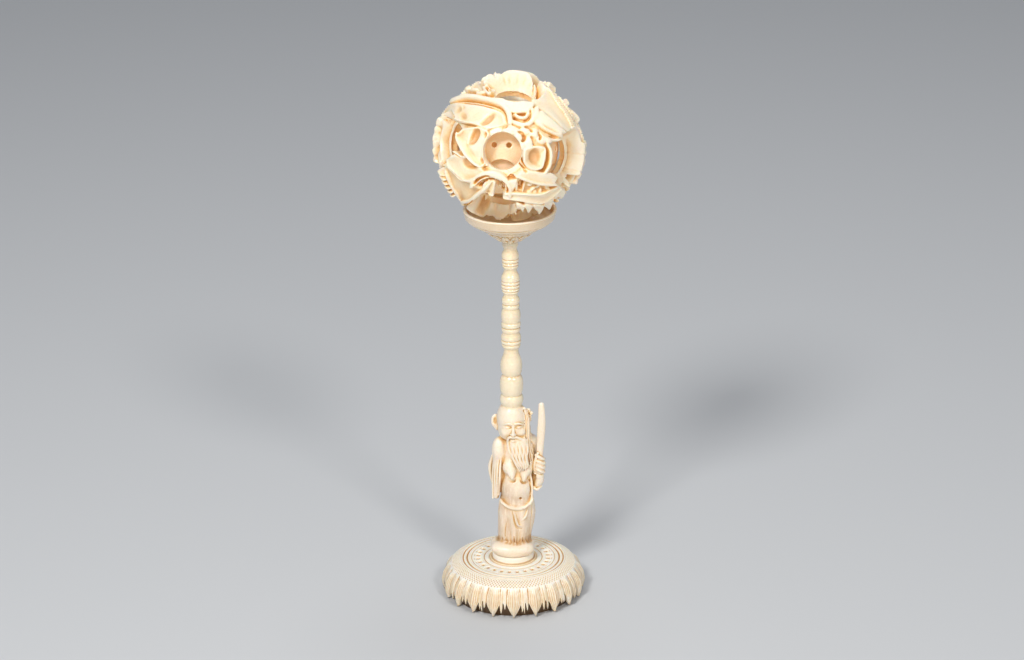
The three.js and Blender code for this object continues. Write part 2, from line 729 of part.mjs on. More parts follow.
// Mesh turned so that its front hole faces the given azimuth and elevation
function turnedMesh(name, geometry, material, turn, drop) {
  const mesh = new THREE.Mesh(geometry, material);
  mesh.name = name;
  mesh.position.set(0, 0, ballCentre - drop);
  mesh.rotation.set(-radians(turn.elevation), radians(turn.roll), radians(turn.azimuth), "ZXY");
  return mesh;
}

function ivory(colour, roughness) {
  return new THREE.MeshStandardMaterial({ color: colour, roughness, metalness: 0 });
}

const lightIvory = ivory(0xf7ecd2, 0.45);
const warmIvory = ivory(0xe9cf9c, 0.45);
const oldIvory = ivory(0xeddcb8, 0.5);

function standMesh(name, geometry, material) {
  const mesh = new THREE.Mesh(geometry, material);
  mesh.name = name;
  return mesh;
}

const puzzleBall = new THREE.Group();
puzzleBall.add(
  standMesh("base", makeBase(), lightIvory),
  standMesh("figure", makeFigure(), oldIvory),
  standMesh("stem", makeStem(), lightIvory),
  standMesh("cup", makeCup(), lightIvory),
  turnedMesh("outer_shell", makeOuterShell(), lightIvory, outerShellTurn, 0),
  turnedMesh("middle_shell", makeMiddleShell(), warmIvory, middleShellTurn, middleShellDrop),
  turnedMesh("inner_ball", makeInnerBall(), warmIvory, innerBallTurn, innerBallDrop),
);

export default puzzleBall;
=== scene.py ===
# Carved ivory puzzle ball on its figure stand: finished surfaces, light, floor and camera
import math

import bmesh
import bpy
import numpy as np
import openvdb
from mathutils import Matrix, Vector


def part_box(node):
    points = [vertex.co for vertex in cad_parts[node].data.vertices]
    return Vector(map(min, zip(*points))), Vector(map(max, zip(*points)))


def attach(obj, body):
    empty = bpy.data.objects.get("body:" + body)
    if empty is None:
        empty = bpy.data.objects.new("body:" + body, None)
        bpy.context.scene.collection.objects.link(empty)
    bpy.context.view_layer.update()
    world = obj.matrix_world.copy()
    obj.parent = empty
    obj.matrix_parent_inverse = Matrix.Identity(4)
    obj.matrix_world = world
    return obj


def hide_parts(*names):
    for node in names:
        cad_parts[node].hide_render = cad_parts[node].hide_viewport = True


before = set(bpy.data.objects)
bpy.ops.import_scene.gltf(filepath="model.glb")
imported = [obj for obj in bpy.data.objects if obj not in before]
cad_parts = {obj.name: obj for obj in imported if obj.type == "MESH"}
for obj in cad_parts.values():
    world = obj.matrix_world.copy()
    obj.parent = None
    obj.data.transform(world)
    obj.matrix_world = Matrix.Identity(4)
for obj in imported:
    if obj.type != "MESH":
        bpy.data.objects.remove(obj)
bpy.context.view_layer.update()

MM = 0.001

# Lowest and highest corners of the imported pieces, in millimetres
base_low, base_high = [np.array(corner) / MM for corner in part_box("base")]
figure_low = np.array(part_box("figure")[0]) / MM
stem_low, stem_high = [np.array(corner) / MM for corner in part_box("stem")]
cup_low, cup_high = [np.array(corner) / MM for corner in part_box("cup")]

# Camera, in metres and degrees
CAMERA_PLACE = (0.0, -1.150, 0.564)
CAMERA_PITCH = 21.4
CAMERA_ROLL = -0.55
CAMERA_PAN = -0.02
CAMERA_LENS = 109.8
CAMERA_SENSOR = 36.0

# Nested ball, in millimetres
BALL_RADIUS = 30.0
CUP_MOUTH_RADIUS = 17.2
SEAT_GAP = 0.3
CARVING_DEPTH = 5.4
WINDOW_INSIDE_RADIUS = 6.9
WINDOW_RIM_RADIUS = 7.5
OUTER_INSIDE = 20.0
MIDDLE_RADIUS = 19.0
MIDDLE_INSIDE = 17.0
MIDDLE_HOLE_RADIUS = 5.9
SMALL_HOLE_RADIUS = 1.05
SMALL_HOLE_PITCH = 5.8
MIDDLE_DROP = 0.3
INNER_RADIUS = 15.9
INNER_CORE = 3.9
INNER_HOLE_RADIUS = 5.0
INNER_DROP = 0.63
BALL_HEIGHT = cup_high[2] + math.sqrt((BALL_RADIUS + SEAT_GAP) ** 2 - CUP_MOUTH_RADIUS ** 2)

# Azimuth, elevation and roll of each shell's front hole, in degrees
OUTER_TURN = (-5.8, 14.7, 8.0)
MIDDLE_TURN = (-6.5, -68.5, -3.0)
INNER_TURN = (173.5, -76.0, 0.0)

# Most triangles that each voxel mesh keeps
OUTER_TRIANGLES = 190000
MIDDLE_TRIANGLES = 110000
INNER_TRIANGLES = 80000
FIGURE_TRIANGLES = 190000

# Where distance fields are cut off, in millimetres and in voxels
FAR = 3.0

# Angle between the axes through a cube's face and its corner, in degrees
CORNER = math.degrees(math.atan(math.sqrt(2)))


def direction(azimuth, elevation):
    """Unit vectors from angles in degrees; azimuth 0 is the front."""
    a = np.radians(azimuth)
    e = np.radians(elevation)
    return np.stack([np.sin(a) * np.cos(e), -np.cos(a) * np.cos(e), np.sin(e)], axis=-1)


def hole_axes():
    """The fourteen holes stand on the faces and corners of a cube."""
    angles = [(side, 0) for side in (0, 180)]
    angles += [(side, lift) for side in (90, -90) for lift in (45, -45)]
    for side in (0, 180):
        angles += [(side, CORNER), (side, -CORNER), (side + CORNER, 0), (side - CORNER, 0)]
    return [direction(azimuth, elevation) for azimuth, elevation in angles]


HOLES = hole_axes()


def edge_axes():
    """The twelve edges of the same cube."""
    angles = [(90, 0), (-90, 0), (0, 90), (0, -90)]
    angles += [(side, lift) for side in (45, 135, 225, 315) for lift in (90 - CORNER, CORNER - 90)]
    return [direction(azimuth, elevation) for azimuth, elevation in angles]


def spline(knots, each, closed=False):
    """Points on a smooth curve through knots, with a number of points for each span."""
    if closed:
        padded = np.concatenate([knots[-1:], knots, knots[:2]])
    else:
        padded = np.concatenate([2 * knots[:1] - knots[1:2], knots, 2 * knots[-1:] - knots[-2:-1]])
    share = np.linspace(0, 1, each, endpoint=False)[:, None]
    pieces = []
    for i in range(len(padded) - 3):
        a, b, c, d = padded[i:i + 4]
        bend = 2 * a - 5 * b + 4 * c - d + share * (3 * (b - c) + d - a)
        pieces.append(b + 0.5 * share * (c - a + share * bend))
    if not closed:
        pieces.append(knots[-1:])
    return np.concatenate(pieces)


# Meshes

def linked(name, data):
    """New object in the scene that shows the data."""
    thing = bpy.data.objects.new(name, data)
    bpy.context.collection.objects.link(thing)
    return thing


def shade_smooth(mesh):
    mesh.polygons.foreach_set("use_smooth", np.ones(len(mesh.polygons), bool))


def mesh_object(name, points, quads, triangles):
    """Object from points in millimetres, with shared smooth normals."""
    mesh = bpy.data.meshes.new(name)
    faces = [face for face in (quads, triangles) if len(face)]
    loops = np.concatenate([face.ravel() for face in faces]).astype(np.int32)
    sizes = np.concatenate([np.full(len(face), face.shape[1]) for face in faces]).astype(np.int32)
    starts = np.concatenate([[0], np.cumsum(sizes)[:-1]]).astype(np.int32)
    mesh.vertices.add(len(points))
    mesh.vertices.foreach_set("co", (np.asarray(points, np.float32) * MM).ravel())
    mesh.loops.add(len(loops))
    mesh.loops.foreach_set("vertex_index", loops)
    mesh.polygons.add(len(sizes))
    mesh.polygons.foreach_set("loop_start", starts)
    mesh.polygons.foreach_set("loop_total", sizes)
    mesh.update(calc_edges=True)
    mesh.validate()
    shade_smooth(mesh)
    return linked(name, mesh)


def fetched(items, key, width, kind=np.float32):
    """One property of all items, in rows."""
    values = np.empty(width * len(items), kind)
    items.foreach_get(key, values)
    return values.reshape(-1, width)


def points_of(mesh):
    return fetched(mesh.vertices, "co", 3) / MM


def edge_ends(mesh):
    return fetched(mesh.edges, "vertices", 2, np.int32).T


def set_attribute(mesh, key, values):
    layer = mesh.attributes.get(key) or mesh.attributes.new(key, "FLOAT", "POINT")
    layer.data.foreach_set("value", np.asarray(values, np.float32))


def mark_cuts(mesh, passes):
    """Millimetres that each point lies below the smoothed surface; raised points are negative."""
    places = points_of(mesh)
    first, second = edge_ends(mesh)
    size = len(places)
    count = np.bincount(first, minlength=size) + np.bincount(second, minlength=size)
    smooth = places.copy()
    for step in range(passes):
        total = [np.bincount(first, smooth[second, i], size) + np.bincount(second, smooth[first, i], size)
            for i in range(3)]
        smooth = 0.5 * smooth + 0.5 * np.stack(total, axis=1) / np.maximum(count, 1)[:, None]
    normals = fetched(mesh.vertex_normals, "vector", 3)
    set_attribute(mesh, "cut", ((smooth - places) * normals).sum(axis=1))


def drop_crumbs(mesh):
    """Delete the loose crumbs that the voxels leave beside the main body."""
    first, second = edge_ends(mesh)
    label = np.arange(len(mesh.vertices))
    while True:
        lower = np.minimum(label[first], label[second])
        spread = label.copy()
        np.minimum.at(spread, first, lower)
        np.minimum.at(spread, second, lower)
        spread = spread[spread]
        if (spread == label).all():
            break
        label = spread
    main = np.bincount(label).argmax()
    body = bmesh.new()
    body.from_mesh(mesh)
    crumbs = [point for point in body.verts if label[point.index] != main]
    bmesh.ops.delete(body, geom=crumbs, context="VERTS")
    body.to_mesh(mesh)
    body.free()


def simplified(thing, triangles):
    """The object's mesh lightly smoothed and brought down to a number of triangles."""
    smooth = thing.modifiers.new("smooth", "SMOOTH")
    smooth.factor = 0.5
    smooth.iterations = 1
    count = sum(len(face.vertices) - 2 for face in thing.data.polygons)
    if count > triangles:
        decimate = thing.modifiers.new("decimate", "DECIMATE")
        decimate.ratio = triangles / count
    evaluated = thing.evaluated_get(bpy.context.evaluated_depsgraph_get())
    finished = bpy.data.meshes.new_from_object(evaluated)
    thing.modifiers.clear()
    rough = thing.data
    thing.data = finished
    bpy.data.meshes.remove(rough)
    drop_crumbs(finished)
    shade_smooth(finished)
    return thing


class Clay:
    """Block of voxels that holds a distance field, negative inside, in millimetres."""

    def __init__(self, low, high, voxel):
        self.voxel = voxel
        self.low = np.array(low, float) - 2 * voxel
        counts = np.ceil((np.array(high, float) - self.low) / voxel).astype(int) + 3
        self.axes = [self.low[i] + voxel * np.arange(counts[i]) for i in range(3)]
        self.field = np.full(counts, FAR, np.float32)

    def grids(self):
        """Coordinates of all voxels, and their distances from the origin."""
        axes = [axis.astype(np.float32) for axis in self.axes]
        x, y, z = np.meshgrid(*axes, indexing="ij", sparse=True)
        return x, y, z, np.sqrt(x * x + y * y + z * z)

    def part(self, low, high):
        """Slices and coordinate grids of the voxels between two corners."""
        cut = []
        for i in range(3):
            first = max(0, int(np.floor((low[i] - self.low[i]) / self.voxel)))
            last = min(len(self.axes[i]), int(np.ceil((high[i] - self.low[i]) / self.voxel)) + 1)
            cut.append(slice(first, max(first, last)))
        grids = np.ix_(*[self.axes[i][cut[i]].astype(np.float32) for i in range(3)])
        return tuple(cut), grids

    def object(self, name):
        grid = openvdb.FloatGrid(1.0)
        levels = np.clip(self.field / self.voxel, -FAR, FAR)
        grid.copyFromArray(levels.astype(np.float32))
        points, triangles, quads = grid.convertToPolygons(0.0, 0.0)
        return mesh_object(name, points * self.voxel + self.low, quads, triangles)


# Carving of the outer shell, in millimetres and degrees

GROUND = BALL_RADIUS - CARVING_DEPTH
COLLAR_RADIUS = 22.7
COLLAR_WIDTH = 1.2
COLLAR_STEP = 0.25
FRONT_COLLAR_RADIUS = 27.0
FAR_SLOPE = 1.3
SIDE_SLOPE = 2.6
NEAR_SLOPE = 6.0
FUNNEL_COSINE = 0.4
WINDOW_FLARE = 0.06
RELIEF_STEP = 0.3
EDGE_SLOPE = 5
EDGE_REACH = 1.2
UNDERCUT = 0.32
BLUR_REACH = 12
BLUR_WIDTH = 5.0


def smooth_curve(angles, closed=False, each=8):
    """Unit vectors on a smooth curve through places given as (azimuth, elevation)."""
    curve = spline(direction(*np.array(angles, float).T), each, closed)
    return curve / np.linalg.norm(curve, axis=1, keepdims=True)


def flat_places(towards, centre):
    """Places round a centre in millimetres on the ball, to the east and to the north."""
    azimuth = math.atan2(centre[0], -centre[1])
    east = np.array([math.cos(azimuth), math.sin(azimuth), 0.0])
    north = np.cross(centre, east)
    north = -north if north[2] < 0 else north
    angle = np.arccos(np.clip(towards @ centre, -1, 1))
    stretch = BALL_RADIUS * angle / np.maximum(np.sin(angle), 1e-6)
    return np.stack([(towards @ east) * stretch, (towards @ north) * stretch], axis=-1)


def step_lengths(path):
    """Lengths of a path's steps, and the distance walked at each of its points."""
    lengths = np.linalg.norm(np.diff(path, axis=0), axis=1)
    return lengths, np.concatenate([[0], np.cumsum(lengths)])


def near_path(places, path):
    """Distance to a path and share of its length there, for flat places."""
    best = np.full(len(places), 1e9)
    gone = np.zeros(len(places))
    lengths, passed = step_lengths(path)
    x, y = places[:, 0], places[:, 1]
    for i, length in enumerate(lengths):
        along = (path[i + 1] - path[i]) / max(length, 1e-6)
        dx, dy = x - path[i, 0], y - path[i, 1]
        walked = np.clip(dx * along[0] + dy * along[1], 0, length)
        square = (dx - walked * along[0]) ** 2 + (dy - walked * along[1]) ** 2
        nearer = square < best
        best = np.where(nearer, square, best)
        gone = np.where(nearer, passed[i] + walked, gone)
    return np.sqrt(best), gone / passed[-1]


def inside_outline(places, outline):
    """Whether flat places lie inside a closed outline."""
    x, y = places[:, 0], places[:, 1]
    odd = np.zeros(len(places), bool)
    for (x0, y0), (x1, y1) in zip(outline, np.roll(outline, -1, axis=0)):
        if y0 != y1:
            odd ^= ((y0 > y) != (y1 > y)) & (x < x0 + (y - y0) * (x1 - x0) / (y1 - y0))
    return odd


class Relief:
    """Radius of the carved surface over the front half of the ball, repeated half a turn round it."""

    def __init__(self):
        self.azimuths = np.arange(-90, 90, RELIEF_STEP)
        self.elevations = np.arange(-90, 90 + RELIEF_STEP / 2, RELIEF_STEP)
        grid = np.meshgrid(self.azimuths, self.elevations, indexing="ij")
        front = direction(*grid).reshape(-1, 3)
        self.towards = np.concatenate([front, front * np.array([-1, -1, 1])]).astype(np.float32)
        self.count = len(front)
        self.radius = np.full(self.count, GROUND, np.float32)

    def around(self, curve, margin):
        """Every view's map places near a curve, as map indices and flat places."""
        centre = curve.mean(0)
        centre /= np.linalg.norm(centre)
        reach = np.arccos(np.clip((curve @ centre).min(), -1, 1)) + margin / BALL_RADIUS
        found = np.where(self.towards @ centre.astype(np.float32) > math.cos(min(reach, 1.5)))[0]
        return found % self.count, flat_places(self.towards[found], centre), flat_places(curve, centre)

    def raise_to(self, index, heights):
        np.maximum.at(self.radius, index, np.minimum(heights, BALL_RADIUS).astype(np.float32))

    def raise_form(self, index, heights, past):
        """Raise to a form whose heights fall off steeply past its edge."""
        heights = np.where(past > 0, heights - EDGE_SLOPE * past, heights)
        self.raise_to(index, np.where(past > EDGE_REACH, 0, heights))

    def lower_by(self, index, depths):
        np.subtract.at(self.radius, index, depths.astype(np.float32))

    def oval(self, place, length, width, turn, margin):
        """Map places round a point, and their distances from it as shares of a turned oval."""
        curve = direction(*np.array([place], float).T)
        index, places, flat = self.around(curve, margin)
        turned = math.radians(turn)
        along = places[:, 0] * math.cos(turned) + places[:, 1] * math.sin(turned)
        across = places[:, 1] * math.cos(turned) - places[:, 0] * math.sin(turned)
        return index, np.hypot(along / length, across / width)

    def plate(self, outline, depth, rim=0.3, rim_width=0.7, dish=0.5, dish_width=2.5, drop=0.5):
        """Raised field with a smooth outline, a rounded edge, a rim and a dished middle."""
        curve = smooth_curve(outline, closed=True)
        index, places, flat = self.around(curve, 1.5)
        distance = near_path(places, np.concatenate([flat, flat[:1]]))[0]
        distance = np.where(inside_outline(places, flat), distance, -distance)
        within = np.maximum(distance, 0)
        top = BALL_RADIUS - depth - dish * (1 - np.exp(-(within / dish_width) ** 2))
        top += rim * np.exp(-((within - rim_width) / rim_width) ** 2)
        rounding = 1 - np.clip(within / (1.6 * drop), 0, 1)
        self.raise_form(index, top - drop * rounding ** 2, -distance)

    def band(self, path, half, depth, drop=1.2, taper=0.25, end_depth=None):
        """Rounded ribbon along a path, tapered at both ends."""
        curve = smooth_curve(path)
        index, places, flat = self.around(curve, half + 1.5)
        distance, share = near_path(places, flat)
        ends = np.clip(np.minimum(share, 1 - share) / taper, 0, 1)
        width = half * (0.3 + 0.7 * np.sqrt(ends * (2 - ends)))
        level = depth if end_depth is None else depth + (end_depth - depth) * share
        curved = 1 - np.sqrt(1 - np.clip(distance / width, 0, 1) ** 2)
        self.raise_form(index, BALL_RADIUS - level - drop * curved, distance - width)

    def groove(self, path, half, deep, taper=0.3):
        """Cut along a path, shallower at both ends."""
        curve = smooth_curve(path)
        index, places, flat = self.around(curve, 3 * half)
        distance, share = near_path(places, flat)
        ends = np.clip(np.minimum(share, 1 - share) / taper, 0, 1)
        self.lower_by(index, deep * ends * np.exp(-(distance / half) ** 2))

    def hollow(self, place, length, width, turn, deep):
        """Oval dip, turned anticlockwise from the east in degrees."""
        index, reach = self.oval(place, length, width, turn, 2.5 * max(length, width))
        self.lower_by(index, deep * np.exp(-reach ** 3))

    def knob(self, place, length, width, turn, depth):
        """Oval boss with a domed top, turned anticlockwise from the east in degrees."""
        index, reach = self.oval(place, length, width, turn, max(length, width) + 1.5)
        size = min(length, width)
        dome = 0.75 * size * (1 - np.sqrt(1 - 0.9 * np.clip(reach, 0, 1) ** 2))
        self.raise_form(index, BALL_RADIUS - depth - dome, (reach - 1) * size)

    def teeth(self, path, spacing, size, height, depth):
        """Row of pointed teeth along a path."""
        curve = smooth_curve(path, each=40)
        walked = step_lengths(curve)[1] * BALL_RADIUS
        for mark in np.arange(0.5 * spacing, walked[-1], spacing):
            tip = curve[np.searchsorted(walked, mark)]
            index, places, flat = self.around(tip[None], size)
            share = np.linalg.norm(places, axis=1) / size
            self.raise_to(index, np.where(share > 1, 0, BALL_RADIUS - depth - height * share))

    def open_windows(self):
        """Lower the carving in a funnel to a thin collar, mostly on each window's far side."""
        towards = self.towards[:self.count]
        lift = BALL_RADIUS - COLLAR_RADIUS
        for axis in HOLES:
            axis = axis.astype(np.float32)
            straight = towards @ axis
            index = np.flatnonzero(straight > FUNNEL_COSINE)
            angle = np.arccos(np.clip(straight[index], -1, 1))
            out = angle * 0.5 * (BALL_RADIUS + COLLAR_RADIUS) - WINDOW_RIM_RADIUS
            aside = towards[index] - straight[index][:, None] * axis
            aside /= np.maximum(np.linalg.norm(aside, axis=1), 1e-6)[:, None]
            front = np.array([0, np.sign(np.round(axis[1], 2)), 0], np.float32)
            side = front - (front @ axis) * axis
            length = np.linalg.norm(side)
            foot, slope, low = COLLAR_RADIUS, SIDE_SLOPE, COLLAR_RADIUS
            if length > 0.1 and front.any():
                near = np.clip(aside @ (side / length) * 0.9 + 0.55, 0, 1)
                near = near * near * (3 - 2 * near)
                foot = COLLAR_RADIUS + lift * near
                slope = FAR_SLOPE + (NEAR_SLOPE - FAR_SLOPE) * near
            elif not front.any():
                foot = COLLAR_RADIUS + lift * np.clip(1.4 * np.abs(aside[:, 1]) - 0.3, 0, 1)
            else:
                foot = low = FRONT_COLLAR_RADIUS
            heights = self.radius[index]
            raised = np.maximum(heights, low - COLLAR_STEP)
            heights = np.where(out < COLLAR_WIDTH + 0.6, raised, heights)
            limit = np.where(out < COLLAR_WIDTH, foot, foot - COLLAR_STEP + slope * (out - COLLAR_WIDTH))
            self.radius[index] = np.minimum(heights, np.minimum(limit, BALL_RADIUS))

    def lean(self):
        """How far the carving hangs over, east and north, from the slope of a blurred map."""
        table = self.radius.reshape(len(self.azimuths), len(self.elevations))
        steps = np.arange(-BLUR_REACH, BLUR_REACH + 1)
        weights = np.exp(-(steps / BLUR_WIDTH) ** 2)
        weights /= weights.sum()
        blurred = sum(weight * np.roll(table, step, axis=0) for weight, step in zip(weights, steps))
        padded = np.pad(blurred, ((0, 0), (BLUR_REACH, BLUR_REACH)), mode="edge")
        blurred = sum(weight * padded[:, BLUR_REACH + step:BLUR_REACH + step + table.shape[1]]
            for weight, step in zip(weights, steps))
        pace = BALL_RADIUS * math.radians(RELIEF_STEP)
        east = (np.roll(blurred, -1, axis=0) - np.roll(blurred, 1, axis=0)) / (2 * pace)
        east = east / np.maximum(np.cos(np.radians(self.elevations)), 0.25)
        north = np.gradient(blurred, pace, axis=1)
        steep = np.hypot(east, north) + 0.6
        return (-east / steep).astype(np.float32), (-north / steep).astype(np.float32)

    def sample(self, azimuth, elevation, table=None):
        """Map value at given angles in degrees, blended between the map's places."""
        if table is None:
            table = self.radius.reshape(len(self.azimuths), len(self.elevations))
        across = ((azimuth + 90) % 180) / RELIEF_STEP
        up = (np.clip(elevation, -90, 90) + 90) / RELIEF_STEP
        i = np.floor(across).astype(np.int32)
        j = np.minimum(np.floor(up).astype(np.int32), len(self.elevations) - 2)
        u, v = across - i, up - j
        i0, i1 = i % len(self.azimuths), (i + 1) % len(self.azimuths)
        low = table[i0, j] * (1 - u) + table[i1, j] * u
        high = table[i0, j + 1] * (1 - u) + table[i1, j + 1] * u
        return low * (1 - v) + high * v


NORTH_WINDOW = (0, CORNER)
SOUTH_WINDOW = (0, -CORNER)
EAST_WINDOW = (CORNER, 0)
WEST_WINDOW = (-CORNER, 0)


def window_ring(azimuth, elevation, angle, bearings):
    """Path round a window; bearing 0 is below it and 90 to the viewer's right, in degrees."""
    axis = direction(azimuth, elevation)
    east = np.array([math.cos(math.radians(azimuth)), math.sin(math.radians(azimuth)), 0])
    north = direction(azimuth, elevation + 90)
    path = []
    for bearing in np.radians(bearings):
        aside = math.sin(bearing) * east - math.cos(bearing) * north
        x, y, z = math.cos(math.radians(angle)) * axis + math.sin(math.radians(angle)) * aside
        path.append((math.degrees(math.atan2(x, -y)), math.degrees(math.asin(z))))
    return path


def carve_ground(relief):
    """Second layer that shows between the main forms."""
    relief.plate([(-70, 30), (-40, 46), (0, 60), (40, 56), (70, 20), (70, -20), (50, -36), (0, -30),
        (-50, -40), (-66, -20)], 4.2, rim=0, dish=0)
    relief.plate([(-14, -60), (0, -66), (34, -60), (40, -76), (0, -84), (-24, -76)], 0.3, rim=0, dish=-0.3)
    relief.plate([(-50, -58), (-30, -60), (-30, -72), (-70, -78), (-74, -64)], 1.0, rim=0, dish=-0.3)


def carve_crest(relief):
    """Domed crest behind the upper window, with its tufts."""
    relief.plate([(-24, 47), (-36, 54), (-50, 63), (-58, 72), (-80, 84), (140, 86), (64, 78), (54, 72),
        (43, 65), (34, 58), (25, 47), (0, 50)], 0.1, rim=0, dish=0)
    for place, length, width, turn, depth in (((-68, 59), 2.8, 2.0, 30, 0.2), ((-60, 64), 2.4, 2.0, 0, 0.1),
            ((-54, 59), 2.2, 1.6, 60, 1.2), ((-44, 57), 2.2, 1.5, 60, 1.6), ((-66, 45), 2.4, 1.7, 20, 0.5),
            ((-73, 47), 2.4, 1.8, 0, 0.3), ((-54, 46.5), 2.8, 1.3, 15, 1.2),
            ((-42, 46), 3.0, 1.4, 20, 2.0)):
        relief.knob(place, length, width, turn, depth)
    relief.band([(-28, 45), (-40, 50), (-50, 53)], 1.2, 1.8, drop=1.4)


def cut_crest(relief):
    """Fine cuts on the crest's slope towards the upper window."""
    for bearing in (148, 158, 170, 183, 196, 206):
        inner, outer = [window_ring(*NORTH_WINDOW, angle, [bearing])[0] for angle in (22, 30)]
        relief.groove([inner, outer], 0.4, 0.4, taper=0.45)
    relief.groove([(30, 66), (24, 66), (20, 60), (23, 55), (29, 56), (30, 61), (27, 62)], 0.45, 1.4,
        taper=0.15)
    relief.groove([(84, 85), (66, 78), (55, 71), (46, 65), (41, 60)], 0.7, 4.5, taper=0.1)
    relief.groove([(41, 61), (36, 56), (32, 52)], 0.6, 2.6, taper=0.2)
    relief.hollow((-48, 58), 1.8, 1.0, 60, 1.6)
    relief.hollow((-60, 52), 2.6, 1.2, 20, 1.5)


def carve_upper_left(relief):
    """Broad dished leaf with a rolled upper rim."""
    relief.plate([(-86, 21), (-78, 26), (-64, 30), (-46, 34), (-28, 35), (-14, 34), (-6, 31), (-2, 26),
        (0, 19), (-3, 13.5), (-10, 12.5), (-19, 15.5), (-30, 16), (-40, 15.5), (-52, 16), (-62, 16),
        (-72, 17), (-82, 17)], 1.4, rim=0.3, dish=1.3, dish_width=2.6, drop=0.6)
    relief.band([(-80, 28), (-67, 32), (-50, 37.5), (-30, 38.6), (-16, 38), (-6, 35.5), (0, 30), (2.5, 23),
        (1.5, 17)], 1.3, 0, drop=1.1, taper=0.15)
    relief.groove([(-62, 30), (-44, 34), (-28, 35), (-16, 34), (-7, 31), (-3, 26)], 1.0, 1.3)
    relief.hollow((-43, 22), 2.4, 1.0, -20, 0.6)
    relief.hollow((-18, 22), 3.2, 1.2, 55, 1.1)
    relief.hollow((-54, 26), 1.8, 1.0, 0, 0.4)
    relief.hollow((-48, 28), 0.9, 0.6, -40, 0.3)
    relief.hollow((-1.5, 20), 0.7, 0.6, 0, 1.0)


def carve_left(relief):
    """Ribs and lobes past the left window."""
    relief.plate([(-78, 13), (-84, 13), (-93, 4), (-96, -10), (-92, -26), (-80, -28), (-74, -20),
        (-77, -8)], 2.0, rim=0, dish=0.4)
    for place, length, width, turn in (((-85, 11), 2.2, 1.5, 60), ((-89, 5), 2.0, 1.5, 90),
            ((-88, -2), 2.6, 1.6, 90), ((-89, -11), 2.8, 1.6, 80), ((-87, -20), 2.6, 1.8, 110),
            ((-82, -27), 2.6, 1.7, 140)):
        relief.knob(place, length, width, turn, 0)


def cut_left(relief):
    relief.groove(window_ring(*WEST_WINDOW, 23, [-25, -55, -90, -125, -155]), 0.7, 2.0, taper=0.15)
    relief.groove(window_ring(*WEST_WINDOW, 28, [-40, -65, -90, -115]), 0.4, 1.0, taper=0.15)
    relief.hollow((-84, 3), 2.0, 0.9, 90, 1.4)
    relief.hollow((-84, -10), 2.4, 1.0, 90, 2.4)


def carve_leaf(relief):
    """Pointed leaf between the left and the front window."""
    relief.plate([(-41, 5), (-39, 10), (-35, 13), (-22, 15.5), (-12, 12.5), (-13, 5), (-13.5, -3),
        (-12.5, -9), (-9, -13), (-16, -15), (-21, -12.5), (-29, -7), (-35, -0.5)], 1.3, rim=0.3, dish=0.8,
        dish_width=1.8, drop=0.5)
    relief.band([(-41, 8), (-40, 4), (-35, -1.5), (-28.5, -7.5), (-21, -12.5), (-15, -14.5)], 0.9, 0.5,
        drop=0.8)
    relief.groove([(-33, 5), (-27, -2), (-20, -8)], 0.4, 0.4)
    relief.hollow((-24.5, 8), 2.9, 1.3, 75, 2.2)
    relief.groove([(-26, 5), (-29, 0)], 0.7, 0.7)
    relief.hollow((-15.5, 10.5), 1.1, 0.45, 80, 0.8)
    relief.hollow((-14.5, -9.5), 1.2, 0.6, 130, 1.3)
    relief.hollow((-11.5, -13), 1.0, 0.5, 60, 1.0)


def carve_lower_left(relief):
    """Dished wave with a rolled edge, over a toothed body."""
    relief.plate([(-52, -19), (-40, -24), (-30, -29), (-20, -32), (-13, -30), (-13, -36), (-22, -42),
        (-40, -50), (-56, -58), (-64, -58), (-58, -47), (-58, -39), (-62, -30), (-60, -22)], 1.9, rim=0.2,
        dish=0.9, dish_width=3)
    for place, turn in (((-67, -27), 150), ((-65.5, -31), 155), ((-65, -35), 160), ((-64.5, -39), 165),
            ((-65, -43), 170), ((-66, -47), 175)):
        relief.knob(place, 1.9, 0.55, turn, 0.0)
    relief.band([(-58, -25), (-57, -36), (-56, -45), (-58, -53)], 1.5, 1.2, drop=1.2)
    relief.band([(-70, -60), (-54, -54), (-30, -47), (-20, -40), (-10, -31), (-5, -24)], 1.2, 0.7, drop=0.9)
    relief.plate([(-52, -14), (-42, -9), (-36, -8), (-29, -8.5), (-22, -10.5), (-16, -14.5), (-10, -14.5),
        (-9.5, -17.5), (-16, -22), (-22, -26), (-30, -27), (-40, -22.5), (-48, -18)], 1.0, rim=0.2,
        dish=0.8, drop=0.5)
    relief.band([(-58, -15), (-48, -19), (-40, -23.5), (-33, -27.5), (-26, -27.5), (-21, -25.5), (-15, -22),
        (-9.5, -18)], 1.1, 0.2, drop=0.9)
    relief.groove([(-46, -20.5), (-36, -26), (-29, -29.5), (-22, -28.5)], 0.35, 0.8)
    relief.hollow((-24, -13.5), 3.4, 1.8, 5, 2.4)
    relief.hollow((-11, -19), 1.0, 0.6, 80, 1.2)
    relief.groove([(-41, -8), (-33, -10.5)], 0.35, 1.3)
    relief.band([(-42, -6.5), (-36, -8), (-32, -9.5)], 0.6, 0.5, drop=0.6)
    relief.groove([(-38, -5), (-31, -8)], 0.35, 1.1)


